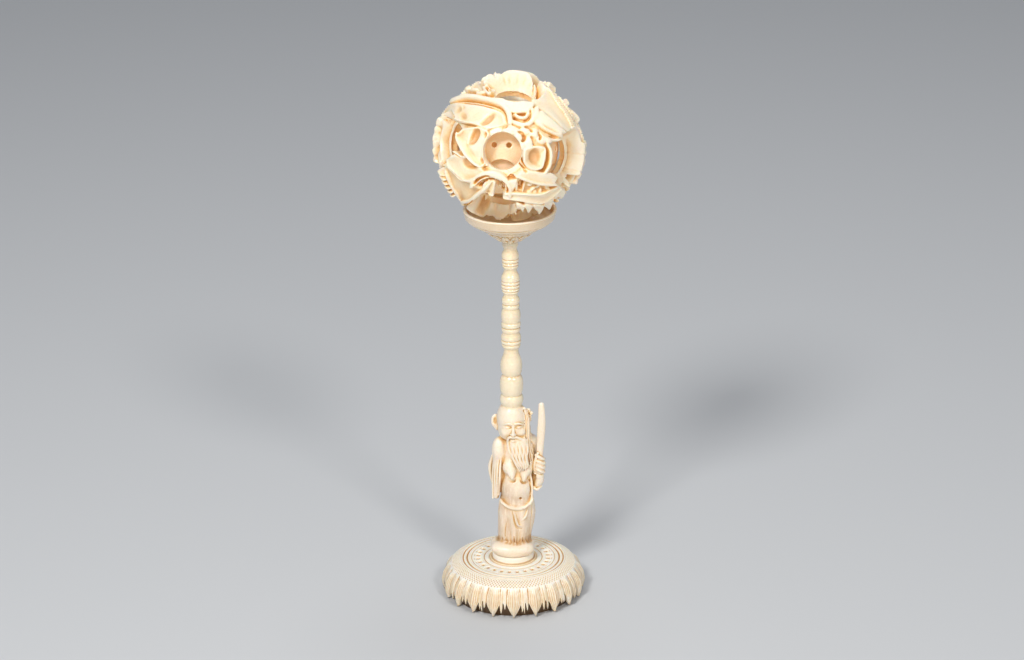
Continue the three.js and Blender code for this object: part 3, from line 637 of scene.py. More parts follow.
def carve_arch(relief):
    """Arched body under the front window, cut round with deep curved slots."""
    relief.plate([(-13, -26), (-6, -23.5), (-1, -25), (-1.5, -39), (-9, -39), (-15, -36)], 1.5, rim=0.3,
        dish=0.5)
    relief.band([(-25, -33), (-18, -25), (-11, -20), (-3, -18.5), (5, -22), (11, -31), (13, -36)], 1.7, 0.2,
        drop=1.0)
    relief.plate([(8, -22), (16, -20), (14, -32), (10, -32)], 0.8, rim=0, dish=0.2)
    relief.groove([(-21, -30), (-17, -25), (-11, -21.5), (-6, -20.5)], 0.4, 2.4, taper=0.15)
    relief.groove([(-16, -30), (-13, -26.5), (-9, -24)], 0.3, 2.0, taper=0.15)
    relief.groove([(4.5, -24), (8, -28), (9.5, -32)], 0.4, 2.4, taper=0.15)
    relief.hollow((2.5, -32), 3.6, 1.35, 85, 6.5)
    relief.hollow((-9, -37), 1.4, 0.5, 60, 0.8)


def carve_lower_right(relief):
    """Shelf under the window with its slots, and the long lower band."""
    relief.plate([(8, -17), (18, -19), (32, -21), (48, -21), (54, -21), (46, -28), (26, -31), (9, -31)],
        1.9, rim=0, dish=0.4)
    for azimuth in (14.5, 20):
        relief.groove([(azimuth, -20.5), (azimuth - 0.5, -24), (azimuth + 0.5, -28)], 0.42, 2.6, taper=0.2)
        relief.knob((azimuth + 2.4, -26), 1.8, 0.6, 95, 1.1)
    for place in ((27, -23), (31, -26), (35, -23), (39, -27), (43, -23), (29, -29), (34, -29), (47, -25)):
        relief.knob(place, 1.3, 0.9, 7 * place[0], 1.1)
    relief.hollow((11, -19), 1.7, 1.1, 30, 2.0)
    relief.plate([(8, -11), (14, -8), (20, -10.5), (28, -11), (36, -11), (44, -11), (53, -13), (55, -19),
        (42, -20), (30, -19.5), (19, -17.5), (11, -15)], 0.6, rim=0, dish=0.5, dish_width=2.5)
    relief.band([(7, -13.5), (12, -15.5), (20, -18), (30, -19.8), (42, -20.3), (55, -19.5)], 0.9, 0.0,
        drop=0.9)
    relief.plate([(5, -33), (14, -30.5), (26, -29.5), (38, -28.5), (48, -24.5), (57, -19), (62, -22),
        (58, -29), (50, -38), (36, -39.5), (22, -38.5), (6, -38)], 0.5, rim=0.3, dish=0.5, drop=0.3)
    relief.groove([(44, -30), (52, -23)], 0.4, 0.6)
    for flame in ([(56, -26), (61, -21), (68, -24), (76, -34), (64, -31), (58, -33)],
            [(50, -37), (57, -32), (62, -36), (70, -45), (60, -43), (54, -41)],
            [(38, -40), (50, -39), (56, -43), (62, -52), (52, -48), (44, -45)],
            [(29, -40), (39, -41), (42, -51), (35, -47)],
            [(20, -40), (30, -42), (33, -47), (39, -56), (26, -50)]):
        relief.plate(flame, 0.0, rim=0.15, rim_width=0.5, dish=0.4, dish_width=1.2, drop=0.8)
    relief.knob((67, -17), 2.4, 2.0, -30, 0.2)
    relief.knob((74, -20), 1.6, 1.2, -60, 0.1)


def carve_under(relief):
    """Smooth swelling under the lower window."""
    relief.knob((-8, -76), 6.0, 3.5, 0, 0.0)
    relief.groove([(-30, -70), (-14, -69), (2, -70), (18, -66)], 0.6, 1.4)
    relief.groove([(-2, -72), (-4, -78)], 0.5, 1.2)
    relief.knob((26, -72), 4.5, 3.0, 30, 0.2)


def cut_under(relief):
    """Gaps in the body under the lower window, through which the cup shows."""
    relief.groove([(-24, -60), (-32, -66), (-48, -72), (-62, -74)], 1.5, 5.0, taper=0.2)
    relief.groove([(-6, -68), (-8, -73), (-14, -78)], 0.6, 1.8)
    relief.groove([(22, -66), (26, -70), (34, -74)], 0.6, 2.0)
    relief.hollow((44, -63), 1.8, 1.1, 60, 2.5)


def carve_right(relief):
    """Square pad beside the front window, and the step by the right window."""
    relief.plate([(16, 4), (22, 7.5), (29, 8.5), (34, 7), (34.5, -2), (33, -9), (24, -10.5), (17, -6)], 0.5,
        rim=0.25, dish=1.3, dish_width=2.4, drop=0.5)
    relief.hollow((25.5, 0), 2.6, 1.7, 100, 1.5)
    relief.band([(34, 11), (38, 6), (39.5, -1), (39, -7), (36.5, -12)], 1.0, 0.5, drop=0.7)
    relief.groove([(33, 9), (35.6, 4), (36, -4), (34, -9.5)], 0.38, 1.4, taper=0.2)
    relief.groove([(15.5, -2), (16, -6), (20, -10.5)], 0.4, 2.2, taper=0.2)
    relief.groove([(18, -10), (22, -13)], 0.35, 1.6, taper=0.3)


def cut_right(relief):
    for height in (4, -9):
        relief.groove([(72, height), (82, height), (92, height - 1)], 0.3, 0.4)
    relief.groove(window_ring(*EAST_WINDOW, 22.5, [40, 65, 90, 115, 140]), 0.6, 1.3, taper=0.2)
    for place in ((92, 8), (94, 2), (95, -3), (92, -9)):
        relief.hollow(place, 0.9, 0.6, 40, 0.8)


def carve_dragon(relief):
    """Long snout with its lobes, between the upper and the right window."""
    relief.plate([(16, 38), (22, 46), (32, 54), (48, 63.5), (62, 65), (56, 47), (62, 33), (65, 22),
        (57, 22), (48, 28), (38, 35), (26, 38)], 1.7, rim=0, dish=0.5, dish_width=3)
    relief.plate([(19, 27), (24, 20), (34, 14), (50, 12), (57, 16), (50, 24), (36, 34), (24, 36)], 2.2,
        rim=0, dish=0.2)
    relief.plate([(56, 15), (62, 19), (75, 15), (90, 11), (97, 2), (96, -8), (86, -12), (74, -14),
        (62, -14), (56, -8)], 0.2, rim=0, dish=0.2)
    relief.plate([(48, 66), (70, 74), (80, 60), (67, 45), (73, 33), (81, 22), (91, 10), (80, 8), (70, 20),
        (63, 32), (57, 46), (57, 58)], 1.3, rim=0.2, dish=0.2, drop=0.6)
    relief.teeth([(70, 70), (74, 62), (66, 47), (73, 33), (80, 22), (90, 9)], 1.05, 0.75, 1.3, 0)
    for shift in (0, 3, 6):
        relief.teeth([(60 + shift, 63), (56 + shift, 46), (62 + shift, 33), (67 + shift, 22),
            (76 + shift, 10)], 0.95, 0.6, 0.8, 0.6)
    relief.plate([(21, 30), (25, 35), (31, 37), (38, 34), (47, 27.5), (55, 20.5), (53, 16.5), (45, 16.5),
        (37, 18.5), (29, 21.5), (23, 25)], 0.3, rim=0, dish=-0.3, dish_width=2.0, drop=0.9)
    relief.groove([(31, 35), (38, 32), (46, 26.5), (51, 22)], 0.5, 1.0)
    relief.groove([(28, 25), (36, 22), (46, 19)], 0.4, 0.8)
    relief.hollow((50, 18.6), 0.9, 0.5, -10, 0.9)
    relief.plate([(20, 27), (22, 33), (23, 38), (27, 39), (27, 33), (25, 28)], 0.0, rim=0.2, dish=0.3,
        drop=0.6)
    relief.groove([(24, 24), (30, 19.5), (38, 17), (46, 15)], 0.36, 1.0)
    relief.band([(26, 17.5), (32, 15), (40, 14), (48, 14.5)], 0.9, 0.8, drop=0.8)
    relief.knob((60, 17), 2.0, 1.5, 30, 0.2)
    relief.groove([(17.5, 38), (19.5, 41), (23, 44.5)], 0.55, 2.4, taper=0.2)
    relief.band([(3, 24.5), (8, 23), (14, 22.5), (19, 25), (22, 30), (21, 37)], 1.15, 0.4, drop=0.8)
    relief.band([(5, 29.5), (10, 28), (15, 29), (18, 34)], 0.9, 0.6, drop=0.8)


def carve_clouds(relief):
    """Cloud lobes round the upper right of the front window."""
    relief.plate([(1, 12), (1, 20), (8, 25), (22, 25), (30, 20), (42, 15), (40, 11), (34, 9), (24, 7),
        (16, 5), (12, 8)], 1.5, rim=0, dish=0.2)
    for place, length, width, turn in (((11, 12.5), 2.0, 1.7, -45), ((19.5, 9.5), 3.0, 2.2, 80),
            ((7, 17), 3.0, 1.6, -20), ((15.5, 18), 2.6, 1.8, 20), ((23, 17), 2.4, 2.0, 60),
            ((29, 12.5), 2.0, 1.4, -10), ((14.5, 7), 1.8, 1.3, -70), ((2, 15.5), 2.2, 1.3, -10),
            ((35, 13), 1.8, 1.1, -10)):
        relief.knob(place, 1.12 * length, 1.12 * width, turn, 0.3)
    relief.groove([(9, 16.5), (13, 16), (15.2, 12.5), (13.5, 8.8)], 0.36, 1.4, taper=0.2)
    relief.groove([(20, 15), (22.5, 12), (24, 8)], 0.36, 1.2, taper=0.2)
    relief.groove([(26, 19), (28.5, 15.5), (27, 12)], 0.36, 1.6, taper=0.2)
    relief.groove([(14, 21), (19, 20.5), (21.5, 17)], 0.36, 1.2, taper=0.2)


def carve_near_rims(relief):
    """Rims that stand at the near side of the windows, where the carving runs right up to them."""
    relief.plate([(-20, 41), (-12, 42), (0, 43), (12, 43), (20, 43), (24, 42), (21, 37), (16, 33), (8, 31),
        (1, 31), (-3, 35), (-12, 38)], 0.3, rim=0, dish=0.5, dish_width=3)
    for bearings in ([180, 205, 230, 250], [180, 155, 130]):
        relief.band(window_ring(*SOUTH_WINDOW, 17, bearings), 1.0, 2.6, drop=0.8, taper=0.01, end_depth=3.5)


def carved_relief():
    relief = Relief()
    for carve in (carve_ground, carve_crest, carve_left, carve_upper_left, carve_lower_left,
            carve_lower_right, carve_dragon, carve_under):
        carve(relief)
    relief.open_windows()
    for carve in (carve_near_rims, carve_leaf, carve_arch, cut_crest, cut_left, carve_right,
            cut_right, carve_clouds, cut_under):
        carve(relief)
    relief.radius = np.clip(relief.radius, OUTER_INSIDE - 2, BALL_RADIUS)
    return relief


# Shells, in millimetres

OUTER_VOXEL = 0.27
LOOSE_VOXEL = 0.25
CHAMFER_TOP = 22.0
CHAMFER_SLOPE = 1.3
CHAMFER_WIDTH = 2.4
BORE_CHAMFER = 0.3
SMALL_CHAMFER = 0.25


def along_axis(x, y, z, radius, axis):
    """Distance out along an axis, and distance across from it."""
    out = x * axis[0] + y * axis[1] + z * axis[2]
    return out, np.sqrt(np.maximum(radius * radius - out * out, 0))


def make_outer_shell():
    relief = carved_relief()
    clay = Clay([-BALL_RADIUS] * 3, [BALL_RADIUS] * 3, OUTER_VOXEL)
    x, y, z, radius = clay.grids()
    inside = (radius > OUTER_INSIDE - 1) & (radius < BALL_RADIUS + 1)
    x, y, z = [np.broadcast_to(axis, radius.shape)[inside] for axis in (x, y, z)]
    radius = radius[inside]
    azimuth = np.degrees(np.arctan2(x, -y))
    elevation = np.degrees(np.arcsin(np.clip(z / radius, -1, 1)))
    east, north = relief.lean()
    depth = (BALL_RADIUS - radius) * UNDERCUT
    lean_east = relief.sample(azimuth, elevation, east) * depth
    lean_north = relief.sample(azimuth, elevation, north) * depth
    turn = np.degrees(1 / BALL_RADIUS)
    azimuth += lean_east * turn / np.maximum(np.cos(np.radians(elevation)), 0.2)
    elevation = np.clip(elevation + lean_north * turn, -90, 90)
    field = np.maximum(radius - relief.sample(azimuth, elevation), OUTER_INSIDE - radius)
    for axis in HOLES:
        out, across = along_axis(x, y, z, radius, axis)
        hole = WINDOW_INSIDE_RADIUS + (out - OUTER_INSIDE) * WINDOW_FLARE - across
        chamfer = np.minimum((CHAMFER_TOP - out) * CHAMFER_SLOPE, CHAMFER_WIDTH)
        hole = np.maximum(hole, WINDOW_INSIDE_RADIUS + chamfer - across)
        field = np.where(out > 0, np.maximum(field, hole), field)
    clay.field[inside] = field
    return simplified(clay.object("outer_shell_carving"), OUTER_TRIANGLES)


def small_hole_axes():
    """Two small holes beside each edge of the cube, towards its two faces."""
    aside = math.asin(SMALL_HOLE_PITCH / 2 / MIDDLE_RADIUS)
    found = []
    for edge in edge_axes():
        for face in HOLES[:6]:
            if math.acos(np.clip(edge @ face, -1, 1)) < math.pi / 3:
                towards = face - edge * (edge @ face)
                towards /= np.linalg.norm(towards)
                found.append(math.cos(aside) * edge + math.sin(aside) * towards)
    return found


def bored_shell(name, outside, inside, bores, triangles):
    """Shell with tapered bores, given as (axes, radius at the surface, chamfer)."""
    clay = Clay([-outside] * 3, [outside] * 3, LOOSE_VOXEL)
    x, y, z, radius = clay.grids()
    field = np.maximum(radius - outside, inside - radius)
    for axes, hole, chamfer in bores:
        for axis in axes:
            out, across = along_axis(x, y, z, radius, axis)
            widened = hole * radius / outside + np.maximum(radius - outside + chamfer, 0)
            field = np.where(out > 0, np.maximum(field, widened - across), field)
    clay.field[:] = np.clip(field, -FAR, FAR)
    return simplified(clay.object(name), triangles)


def make_middle_shell():
    bores = [(HOLES, MIDDLE_HOLE_RADIUS, BORE_CHAMFER),
        (small_hole_axes(), SMALL_HOLE_RADIUS, SMALL_CHAMFER)]
    return bored_shell("middle_shell_turning", MIDDLE_RADIUS, MIDDLE_INSIDE, bores, MIDDLE_TRIANGLES)


def make_inner_ball():
    bores = [(HOLES, INNER_HOLE_RADIUS, BORE_CHAMFER)]
    return bored_shell("inner_ball_turning", INNER_RADIUS, INNER_CORE, bores, INNER_TRIANGLES)


# Turned pieces

def resampled(outline, step, soft):
    """Outline with points an even step apart, its corners eased by soft millimetres."""
    outline = np.array(outline, float)
    walked = step_lengths(outline)[1]
    count = max(int(round(walked[-1] / step)), 2)
    marks = np.linspace(0, walked[-1], count + 1)
    places = np.stack([np.interp(marks, walked, outline[:, i]) for i in range(2)], axis=1)
    reach = int(np.ceil(3 * soft / step))
    weights = np.exp(-0.5 * (np.arange(-reach, reach + 1) * step / soft) ** 2)
    weights /= weights.sum()
    before = 2 * places[:1] - places[reach:0:-1]
    after = 2 * places[-1:] - places[-2:-reach - 2:-1]
    padded = np.concatenate([before, places, after])
    return np.stack([np.convolve(padded[:, i], weights, "valid") for i in range(2)], axis=1)


def lathe(name, outline, columns, shape=None):
    """Turned mesh; its outline runs from the axis at one end to the axis at the other."""
    outline = np.array(outline, float)
    rings = outline[1:-1]
    angles = np.linspace(0, 2 * math.pi, columns, endpoint=False)
    radius, turn = np.meshgrid(rings[:, 0], angles, indexing="ij")
    height = np.repeat(rings[:, 1:2], columns, axis=1)
    if shape is not None:
        radius, height = shape(radius, height, turn)
    points = np.stack([radius * np.sin(turn), -radius * np.cos(turn), height], axis=-1).reshape(-1, 3)
    points = np.concatenate([points, [[0, 0, outline[0, 1]], [0, 0, outline[-1, 1]]]])
    row, column = np.meshgrid(np.arange(len(rings) - 1), np.arange(columns), indexing="ij")
    here = (row * columns + column).ravel()
    beside = (row * columns + (column + 1) % columns).ravel()
    quads = np.stack([here, beside, beside + columns, here + columns], axis=1)
    spin = np.arange(columns)
    following = (spin + 1) % columns
    end = (len(rings) - 1) * columns
    low = np.stack([np.full(columns, len(points) - 2), following, spin], axis=1)
    high = np.stack([np.full(columns, len(points) - 1), end + spin, end + following], axis=1)
    return mesh_object(name, points, quads, np.concatenate([low, high]))


def groove_dip(values, grooves):
    """Sum of soft grooves given as (place, half width, depth)."""
    return sum(depth * np.exp(-((values - place) / half) ** 2) for place, half, depth in grooves)


# Stem: radii at shares of its height, with the fine grooves cut into its rings
STEM_OUTLINE = [
    (0, 3.9), (0.007, 4.1), (0.017, 4.45), (0.029, 4.67), (0.042, 4.73), (0.053, 4.62), (0.062, 4.35),
    (0.069, 3.95), (0.077, 4.2), (0.094, 4.5), (0.117, 4.67), (0.141, 4.7), (0.162, 4.55), (0.178, 4.15),
    (0.187, 3.75), (0.19, 3.5), (0.196, 3.75), (0.208, 4.08), (0.228, 4.33), (0.252, 4.4), (0.274, 4.22),
    (0.294, 3.8), (0.312, 3.3), (0.325, 3.02), (0.338, 2.95), (0.352, 3), (0.359, 3.3), (0.364, 3.6),
    (0.372, 3.78), (0.379, 3.75), (0.383, 3.6), (0.388, 3.9), (0.396, 4.02), (0.403, 3.92), (0.4065, 3.7),
    (0.411, 3.92), (0.42, 4.02), (0.432, 3.85), (0.442, 3.5), (0.451, 3.38), (0.457, 3.5), (0.463, 3.7),
    (0.472, 3.78), (0.48, 3.7), (0.484, 3.5), (0.489, 3.85), (0.499, 3.97), (0.509, 3.85), (0.516, 3.5),
    (0.522, 3.65), (0.54, 3.84), (0.56, 3.88), (0.58, 3.7), (0.591, 3.4), (0.598, 3.2), (0.604, 3.42),
    (0.612, 3.55), (0.62, 3.48), (0.626, 3.25), (0.633, 3.5), (0.648, 3.62), (0.66, 3.4), (0.67, 3),
    (0.68, 2.82), (0.69, 2.9), (0.7, 3.4), (0.712, 3.6), (0.735, 3.72), (0.76, 3.73), (0.78, 3.68),
    (0.796, 3.5), (0.808, 3.05), (0.82, 2.68), (0.828, 2.58), (0.838, 2.7), (0.847, 3.05), (0.856, 3.25),
    (0.872, 3.33), (0.9, 3.42), (0.92, 3.42), (0.934, 3.2), (0.946, 2.8), (0.955, 2.65), (0.966, 2.72),
    (0.974, 3), (0.98, 3.15), (0.992, 3.15), (1, 3.1),
]
STEM_GROOVES = [(0.383, 0.0035, 0.1), (0.4065, 0.0035, 0.1), (0.484, 0.0035, 0.12), (0.626, 0.0035, 0.12),
    (0.708, 0.0042, 0.28), (0.725, 0.0042, 0.3), (0.746, 0.0042, 0.3), (0.766, 0.0042, 0.26),
    (0.862, 0.004, 0.26), (0.879, 0.004, 0.28), (0.9, 0.004, 0.28)]
STEM_STEP = 0.14
STEM_COLUMNS = 72


def make_stem():
    tall = stem_high[2] - stem_low[2]
    outline = [(radius, stem_low[2] + share * tall) for share, radius in STEM_OUTLINE]
    outline = resampled(outline, STEM_STEP, soft=0.1)
    outline[0] = (STEM_OUTLINE[0][1], stem_low[2])
    outline[-1] = (STEM_OUTLINE[-1][1], stem_high[2])
    outline[:, 0] -= groove_dip((outline[:, 1] - stem_low[2]) / tall, STEM_GROOVES)
    outline[:, 1] = np.clip(outline[:, 1], stem_low[2], stem_high[2])
    outline = np.concatenate([[(0, stem_low[2])], outline, [(0, stem_high[2])]])
    return lathe("stem_turning", outline, STEM_COLUMNS)


# Cup: outside from the foot up, over the rim and down the dish, in millimetres above its foot
CUP_OUTSIDE = [
    (3.5, 0), (3.75, 0.25), (4.2, 0.3), (5.4, 1.2), (6.9, 2.4), (8.0, 3.2), (9.1, 4.1), (9.55, 4.7),
    (9.7, 5.0), (10.4, 5.15), (11.2, 5.6), (12.6, 6.5), (13.9, 7.4), (15.0, 7.9), (15.6, 8.2), (16.2, 8.7),
    (16.3, 9.1), (15.9, 9.3), (17.0, 9.5), (17.6, 9.9), (18.2, 12.4), (18.4, 13.1), (18.2, 13.5),
]
CUP_INSIDE = [(17.2, 13.5), (16.9, 12.2), (16.4, 11.0), (14.2, 9.3), (11.5, 8.1), (9.0, 7.5), (5, 7.2),
    (0.6, 7.1)]
CUP_GROOVES = [(6.9, 0.18, 0.3), (7.6, 0.18, 0.3), (5.25, 0.16, 0.28), (9.35, 0.16, 0.3),
    (12.7, 0.12, 0.14)]
CUP_STEP = 0.17
CUP_COLUMNS = 308
BOSS_LEAVES = 14


def boss_leaves(radius, height, turn):
    """Two rows of small leaves round the boss under the bowl."""
    up = height - cup_low[2]
    outside = (up > 0.3) & (up < 5.1) & (radius < 10)
    lower_row = np.clip((up - 0.4) / 2.2, 0, 1)
    upper_row = np.clip((up - 2.2) / 2.7, 0, 1)
    first = np.abs(np.cos(turn * BOSS_LEAVES / 2)) ** 0.7
    second = np.abs(np.sin(turn * BOSS_LEAVES / 2)) ** 0.7
    rib = 0.18 * np.cos(turn * BOSS_LEAVES) * np.cos(turn * 3 * BOSS_LEAVES)
    low_leaf = np.where(first > lower_row, 0.25 + rib, -0.45) * np.sin(math.pi * lower_row) ** 0.5
    high_leaf = np.where(second > upper_row, 0.2 - rib, -0.4) * np.sin(math.pi * upper_row) ** 0.5
    carved = np.where(up < 2.4, low_leaf, high_leaf)
    return np.where(outside, radius + carved, radius), height


def make_cup():
    outside = resampled([(r, cup_low[2] + z) for r, z in CUP_OUTSIDE], CUP_STEP, soft=0.15)
    inside = resampled([(r, cup_low[2] + z) for r, z in CUP_INSIDE], 3 * CUP_STEP, soft=0.3)
    outside[:, 0] -= groove_dip(outside[:, 1] - cup_low[2], CUP_GROOVES)
    outside[:, 1] = np.clip(outside[:, 1], cup_low[2], cup_high[2])
    outside[0] = (CUP_OUTSIDE[0][0], cup_low[2])
    outline = np.concatenate([[(0, cup_low[2])], outside, inside, [(0, inside[-1, 1])]])
    return lathe("cup_turning", outline, CUP_COLUMNS, boss_leaves)


# Base: sizes in millimetres
BASE_SHOULDER_RADIUS = 25.2
BASE_SHOULDER_HEIGHT = 12.3
BASE_WIDEST = 29.2
BASE_LEAF_TIP_RADIUS = 28.3
BASE_TOP = 14.4
BASE_RING_RADIUS = 8.4
BASE_FOOT_RADIUS = 25.0
BASE_FOOT_TOP = 5.2
BASE_RECESS_RADIUS = 20.0
BASE_RECESS_DEPTH = 2.2
BASE_COLUMNS = 720
BASE_SIDE_ROWS = 49
TOP_GROOVES = [(9.6, 0.3, 0.1), (11.8, 0.2, 0.4), (12.4, 0.16, 0.15), (16.9, 0.18, 0.32),
    (17.6, 0.16, 0.15), (18.75, 0.32, 0.8), (19.6, 0.16, 0.2), (20.35, 0.28, 0.7), (21.3, 0.16, 0.25)]
BORDER_RADIUS = 20.8
NOTCH_COUNT = 28
NOTCH_RADIUS = 14.3
HATCH_LINES = 120
HATCH_RADIUS = 23.3
HATCH_LEAN = 0.95
LEAF_COUNT = 20
LEAF_WIDEST = 5.8
FRINGE_TOP = 6.8


def leaf_edge(across, tips, spread):
    """Height of the fringe's lower edge: one lance leaf and its thin neighbours in each sector."""
    edge = 6.3 * (np.abs(across) / (3.3 * spread)) ** 1.15 + tips[0]
    for place, half, low in ((3.55, 0.75, tips[1]), (4.65, 0.8, tips[2]), (-3.75, 0.7, tips[3])):
        edge = np.minimum(edge, low + 4.5 * np.abs(across - place) / half)
    return np.minimum(edge, FRINGE_TOP)


def base_top(angles):
    """Radii and heights of the top, with its grooves, notches and hatched border."""
    radii = [np.arange(BASE_RING_RADIUS + 0.5, 21.4, 0.2), np.arange(21.5, BASE_SHOULDER_RADIUS, 0.32)]
    radii = np.concatenate(radii)
    fall = np.clip((radii - BORDER_RADIUS) / (BASE_SHOULDER_RADIUS - BORDER_RADIUS), 0, 1)
    level = base_low[2] + BASE_TOP - (BASE_TOP - BASE_SHOULDER_HEIGHT) * fall ** 1.3
    level -= groove_dip(radii, TOP_GROOVES)
    level += 0.25 * np.exp(-((radii - 10.4) / 0.6) ** 2)
    level += 0.5 * np.exp(-((radii - BASE_RING_RADIUS - 0.2) / 0.5) ** 2)
    radius, turn = np.meshgrid(radii, angles, indexing="ij")
    height = np.repeat(level[:, None], BASE_COLUMNS, axis=1)
    notch = (turn * NOTCH_COUNT / (2 * math.pi)) % 1 - 0.5
    wide = notch * 2 * math.pi * NOTCH_RADIUS / NOTCH_COUNT
    height -= 1.1 * np.exp(-(wide / 0.6) ** 4 - ((radius - 14.25) / 0.85) ** 4)
    height -= 0.35 * np.exp(-(wide / 0.75) ** 2 - ((radius - 15.75) / 0.25) ** 2)
    height -= 0.18 * np.exp(-((np.abs(wide) - 0.95) / 0.16) ** 2 - ((radius - 14.6) / 0.8) ** 4)
    hatched = np.clip((radius - 21.3) / 0.6, 0, 1)
    lean = (radius - 21.5) * HATCH_LEAN
    pitch = 2 * math.pi * HATCH_RADIUS / HATCH_LINES
    for side in (1, -1):
        line = ((turn * HATCH_RADIUS + side * lean) / pitch) % 1 - 0.5
        height -= 0.3 * hatched * np.exp(-(line * pitch / 0.21) ** 2)
    return radius, height


def base_side(angles):
    """Radii and heights of the side, with its fringe of leaves."""
    chance = np.random.default_rng(7)
    sway = chance.uniform(-0.35, 0.35, LEAF_COUNT)
    spread = chance.uniform(0.9, 1.06, LEAF_COUNT)
    ranges = ((0, 0.5), (1.4, 3.2), (1.0, 2.6), (1.6, 3.6))
    tips = np.stack([chance.uniform(low, high, LEAF_COUNT) for low, high in ranges])
    sector = np.round(angles / (2 * math.pi) * LEAF_COUNT)
    across = (angles - sector * 2 * math.pi / LEAF_COUNT) * BASE_WIDEST
    sector = sector.astype(int) % LEAF_COUNT
    across = across - sway[sector]
    edge = leaf_edge(across, tips[:, sector], spread[sector])

    share = np.linspace(0, 1, BASE_SIDE_ROWS)[1:, None]
    height = base_low[2] + BASE_SHOULDER_HEIGHT + share * (edge[None] - BASE_SHOULDER_HEIGHT)
    slope = [(BASE_SHOULDER_RADIUS, BASE_SHOULDER_HEIGHT), (27.2, 10.4), (28.5, 7.9), (BASE_WIDEST, 4.4),
        (28.9, 2.0), (BASE_LEAF_TIP_RADIUS, 0)]
    slope = resampled(slope, 0.1, soft=0.5)
    radius = np.interp(-height, -(base_low[2] + slope[:, 1]), slope[:, 0])
    low = height - base_low[2]
    x = np.repeat(across[None], BASE_SIDE_ROWS - 1, axis=0)
    half = 3.35 * spread[sector][None] * np.clip(1.02 - ((low - LEAF_WIDEST) / 13) ** 2, 0.2, 1)
    half = np.where(low < LEAF_WIDEST, half * np.clip(low / 6.3 + 0.02, 0.03, 1) ** 0.87, half)
    off = np.abs(x) / half
    narrow = np.clip(half / 3.3, 0.3, 1)
    lance = -1.05 * np.clip(off, 0, 1) ** 1.7 + 0.15 * np.exp(-(x / 0.25) ** 2)
    for vein, depth in ((0.6, 0.3), (1.5, 0.34), (2.35, 0.34)):
        lance = lance - depth * np.exp(-((np.abs(x) - vein * narrow) / 0.24) ** 2)
    thin = -1.3 - 0.9 * np.clip((7.2 - low) / 2.4, 0, 1)
    for place, size, top in ((3.55, 0.75, -0.5), (4.65, 0.8, -0.35), (-3.75, 0.7, -0.5), (-4.55, 0.8, -0.35)):
        spot = np.abs(x - place) / size
        thin = np.maximum(thin, top - 0.9 * np.clip(spot, 0, 2) ** 2 - 0.2 * np.exp(-(spot / 0.3) ** 2))
    surface = np.where(off < 1, np.maximum(lance, np.minimum(thin, -0.7)), thin)
    begin = np.clip((BASE_SHOULDER_HEIGHT - low) / 1.6, 0, 1)
    return radius + begin * (surface - 0.05) - 0.12 * (1 - begin), height


def level_ring(radius, height):
    return np.full((1, BASE_COLUMNS), radius), np.full((1, BASE_COLUMNS), height)


def make_base():
    angles = np.linspace(0, 2 * math.pi, BASE_COLUMNS, endpoint=False)
    neck = base_low[2] + BASE_TOP
    rows = [level_ring(BASE_RING_RADIUS + out, height) for out, height in (
        (-0.25, base_high[2]), (0, base_high[2] - 0.25), (-0.05, base_high[2] - 1.2), (0, neck + 0.9),
        (0.15, neck + 0.25))]
    rows += [base_top(angles), base_side(angles)]
    edge_radius, edge_height = [values[-1:] for values in rows[-1]]
    for step_in, lift in ((0.35, -0.05), (0.9, 0.35), (1.5, 1.0)):
        rows.append((edge_radius - step_in, np.maximum(edge_height + lift, base_low[2])))
    for radius, height in ((BASE_FOOT_RADIUS + 0.8, BASE_FOOT_TOP),
            (BASE_FOOT_RADIUS + 0.1, BASE_FOOT_TOP - 1), (BASE_FOOT_RADIUS, 0),
            (BASE_RECESS_RADIUS, 0), (BASE_RECESS_RADIUS, BASE_RECESS_DEPTH)):
        rows.append(level_ring(radius, base_low[2] + height))
    radius, height = [np.concatenate(values)[::-1] for values in zip(*rows)]
    outline = np.zeros((len(radius) + 2, 2))
    outline[0] = (0, base_low[2] + BASE_RECESS_DEPTH)
    outline[-1] = (0, base_high[2])
    base = lathe("base_carving", outline, BASE_COLUMNS, lambda *unused: (radius, height))
    x, y, z = points_of(base.data).T
    # Painted shadow: the underside and the foot ring behind the leaves are marked to be painted dark brown.
    set_attribute(base.data, "underside_shadow", (np.hypot(x, y) < 26.2) & (z < base_low[2] + 5.6))
    # Painted shade over the leafy side below the shoulder.
    side = np.clip((BASE_SHOULDER_HEIGHT - 0.4 + base_low[2] - z) / 2, 0, 1)
    set_attribute(base.data, "tan_and_shade", 0.6 * side)
    return base


# Figure: places in millimetres from its foot, drawn for a figure 63.2 high

FIGURE_VOXEL = 0.17
FIGURE_TOP = 63.0
PLINTH_RADIUS = 8.7
PLINTH_HEIGHT = 3.6
PLINTH_EDGE = 1.2

# Robed body as (height, centre x, centre y, half width, half depth)
BODY_LEVELS = [
    (0, 1, 0.3, 6.2, 6), (4, 0.7, 0.3, 6.4, 6.1), (7, 0.5, 0.2, 6.7, 6.2), (12, 1.1, 0.1, 7.3, 6.4),
    (17, 1.5, 0, 7.6, 6.6), (21, 1.6, 0, 7.2, 6.4), (25, 1.8, 0.4, 6.4, 5.4), (31.2, 1.7, 0.6, 6, 4.6),
    (38, 1.4, 0.8, 6, 4.7), (43, 1.2, 1, 6.4, 4.7), (46.6, 1.1, 1.1, 5.8, 4.3), (49.5, 0.9, 1, 3.6, 3.2),
    (63.2, 0.3, 0, 2.6, 2.6),
]
HEM_TOP = 9.5
HEM_PLEATS = 24
PLEAT_DEPTH = 0.16
ROBE_FOLDS = 7
FOLD_DEPTH = 0.22
FACE_MIDDLE = 0.5
EYE_ASIDE = 2.1
BLADE_DEPTH = -3.4


def softly(a, b, soft):
    """Union of two distances with a rounded join."""
    overlap = np.maximum(0, soft - np.abs(a - b)) / soft
    return np.minimum(a, b) - 0.25 * soft * overlap ** 2


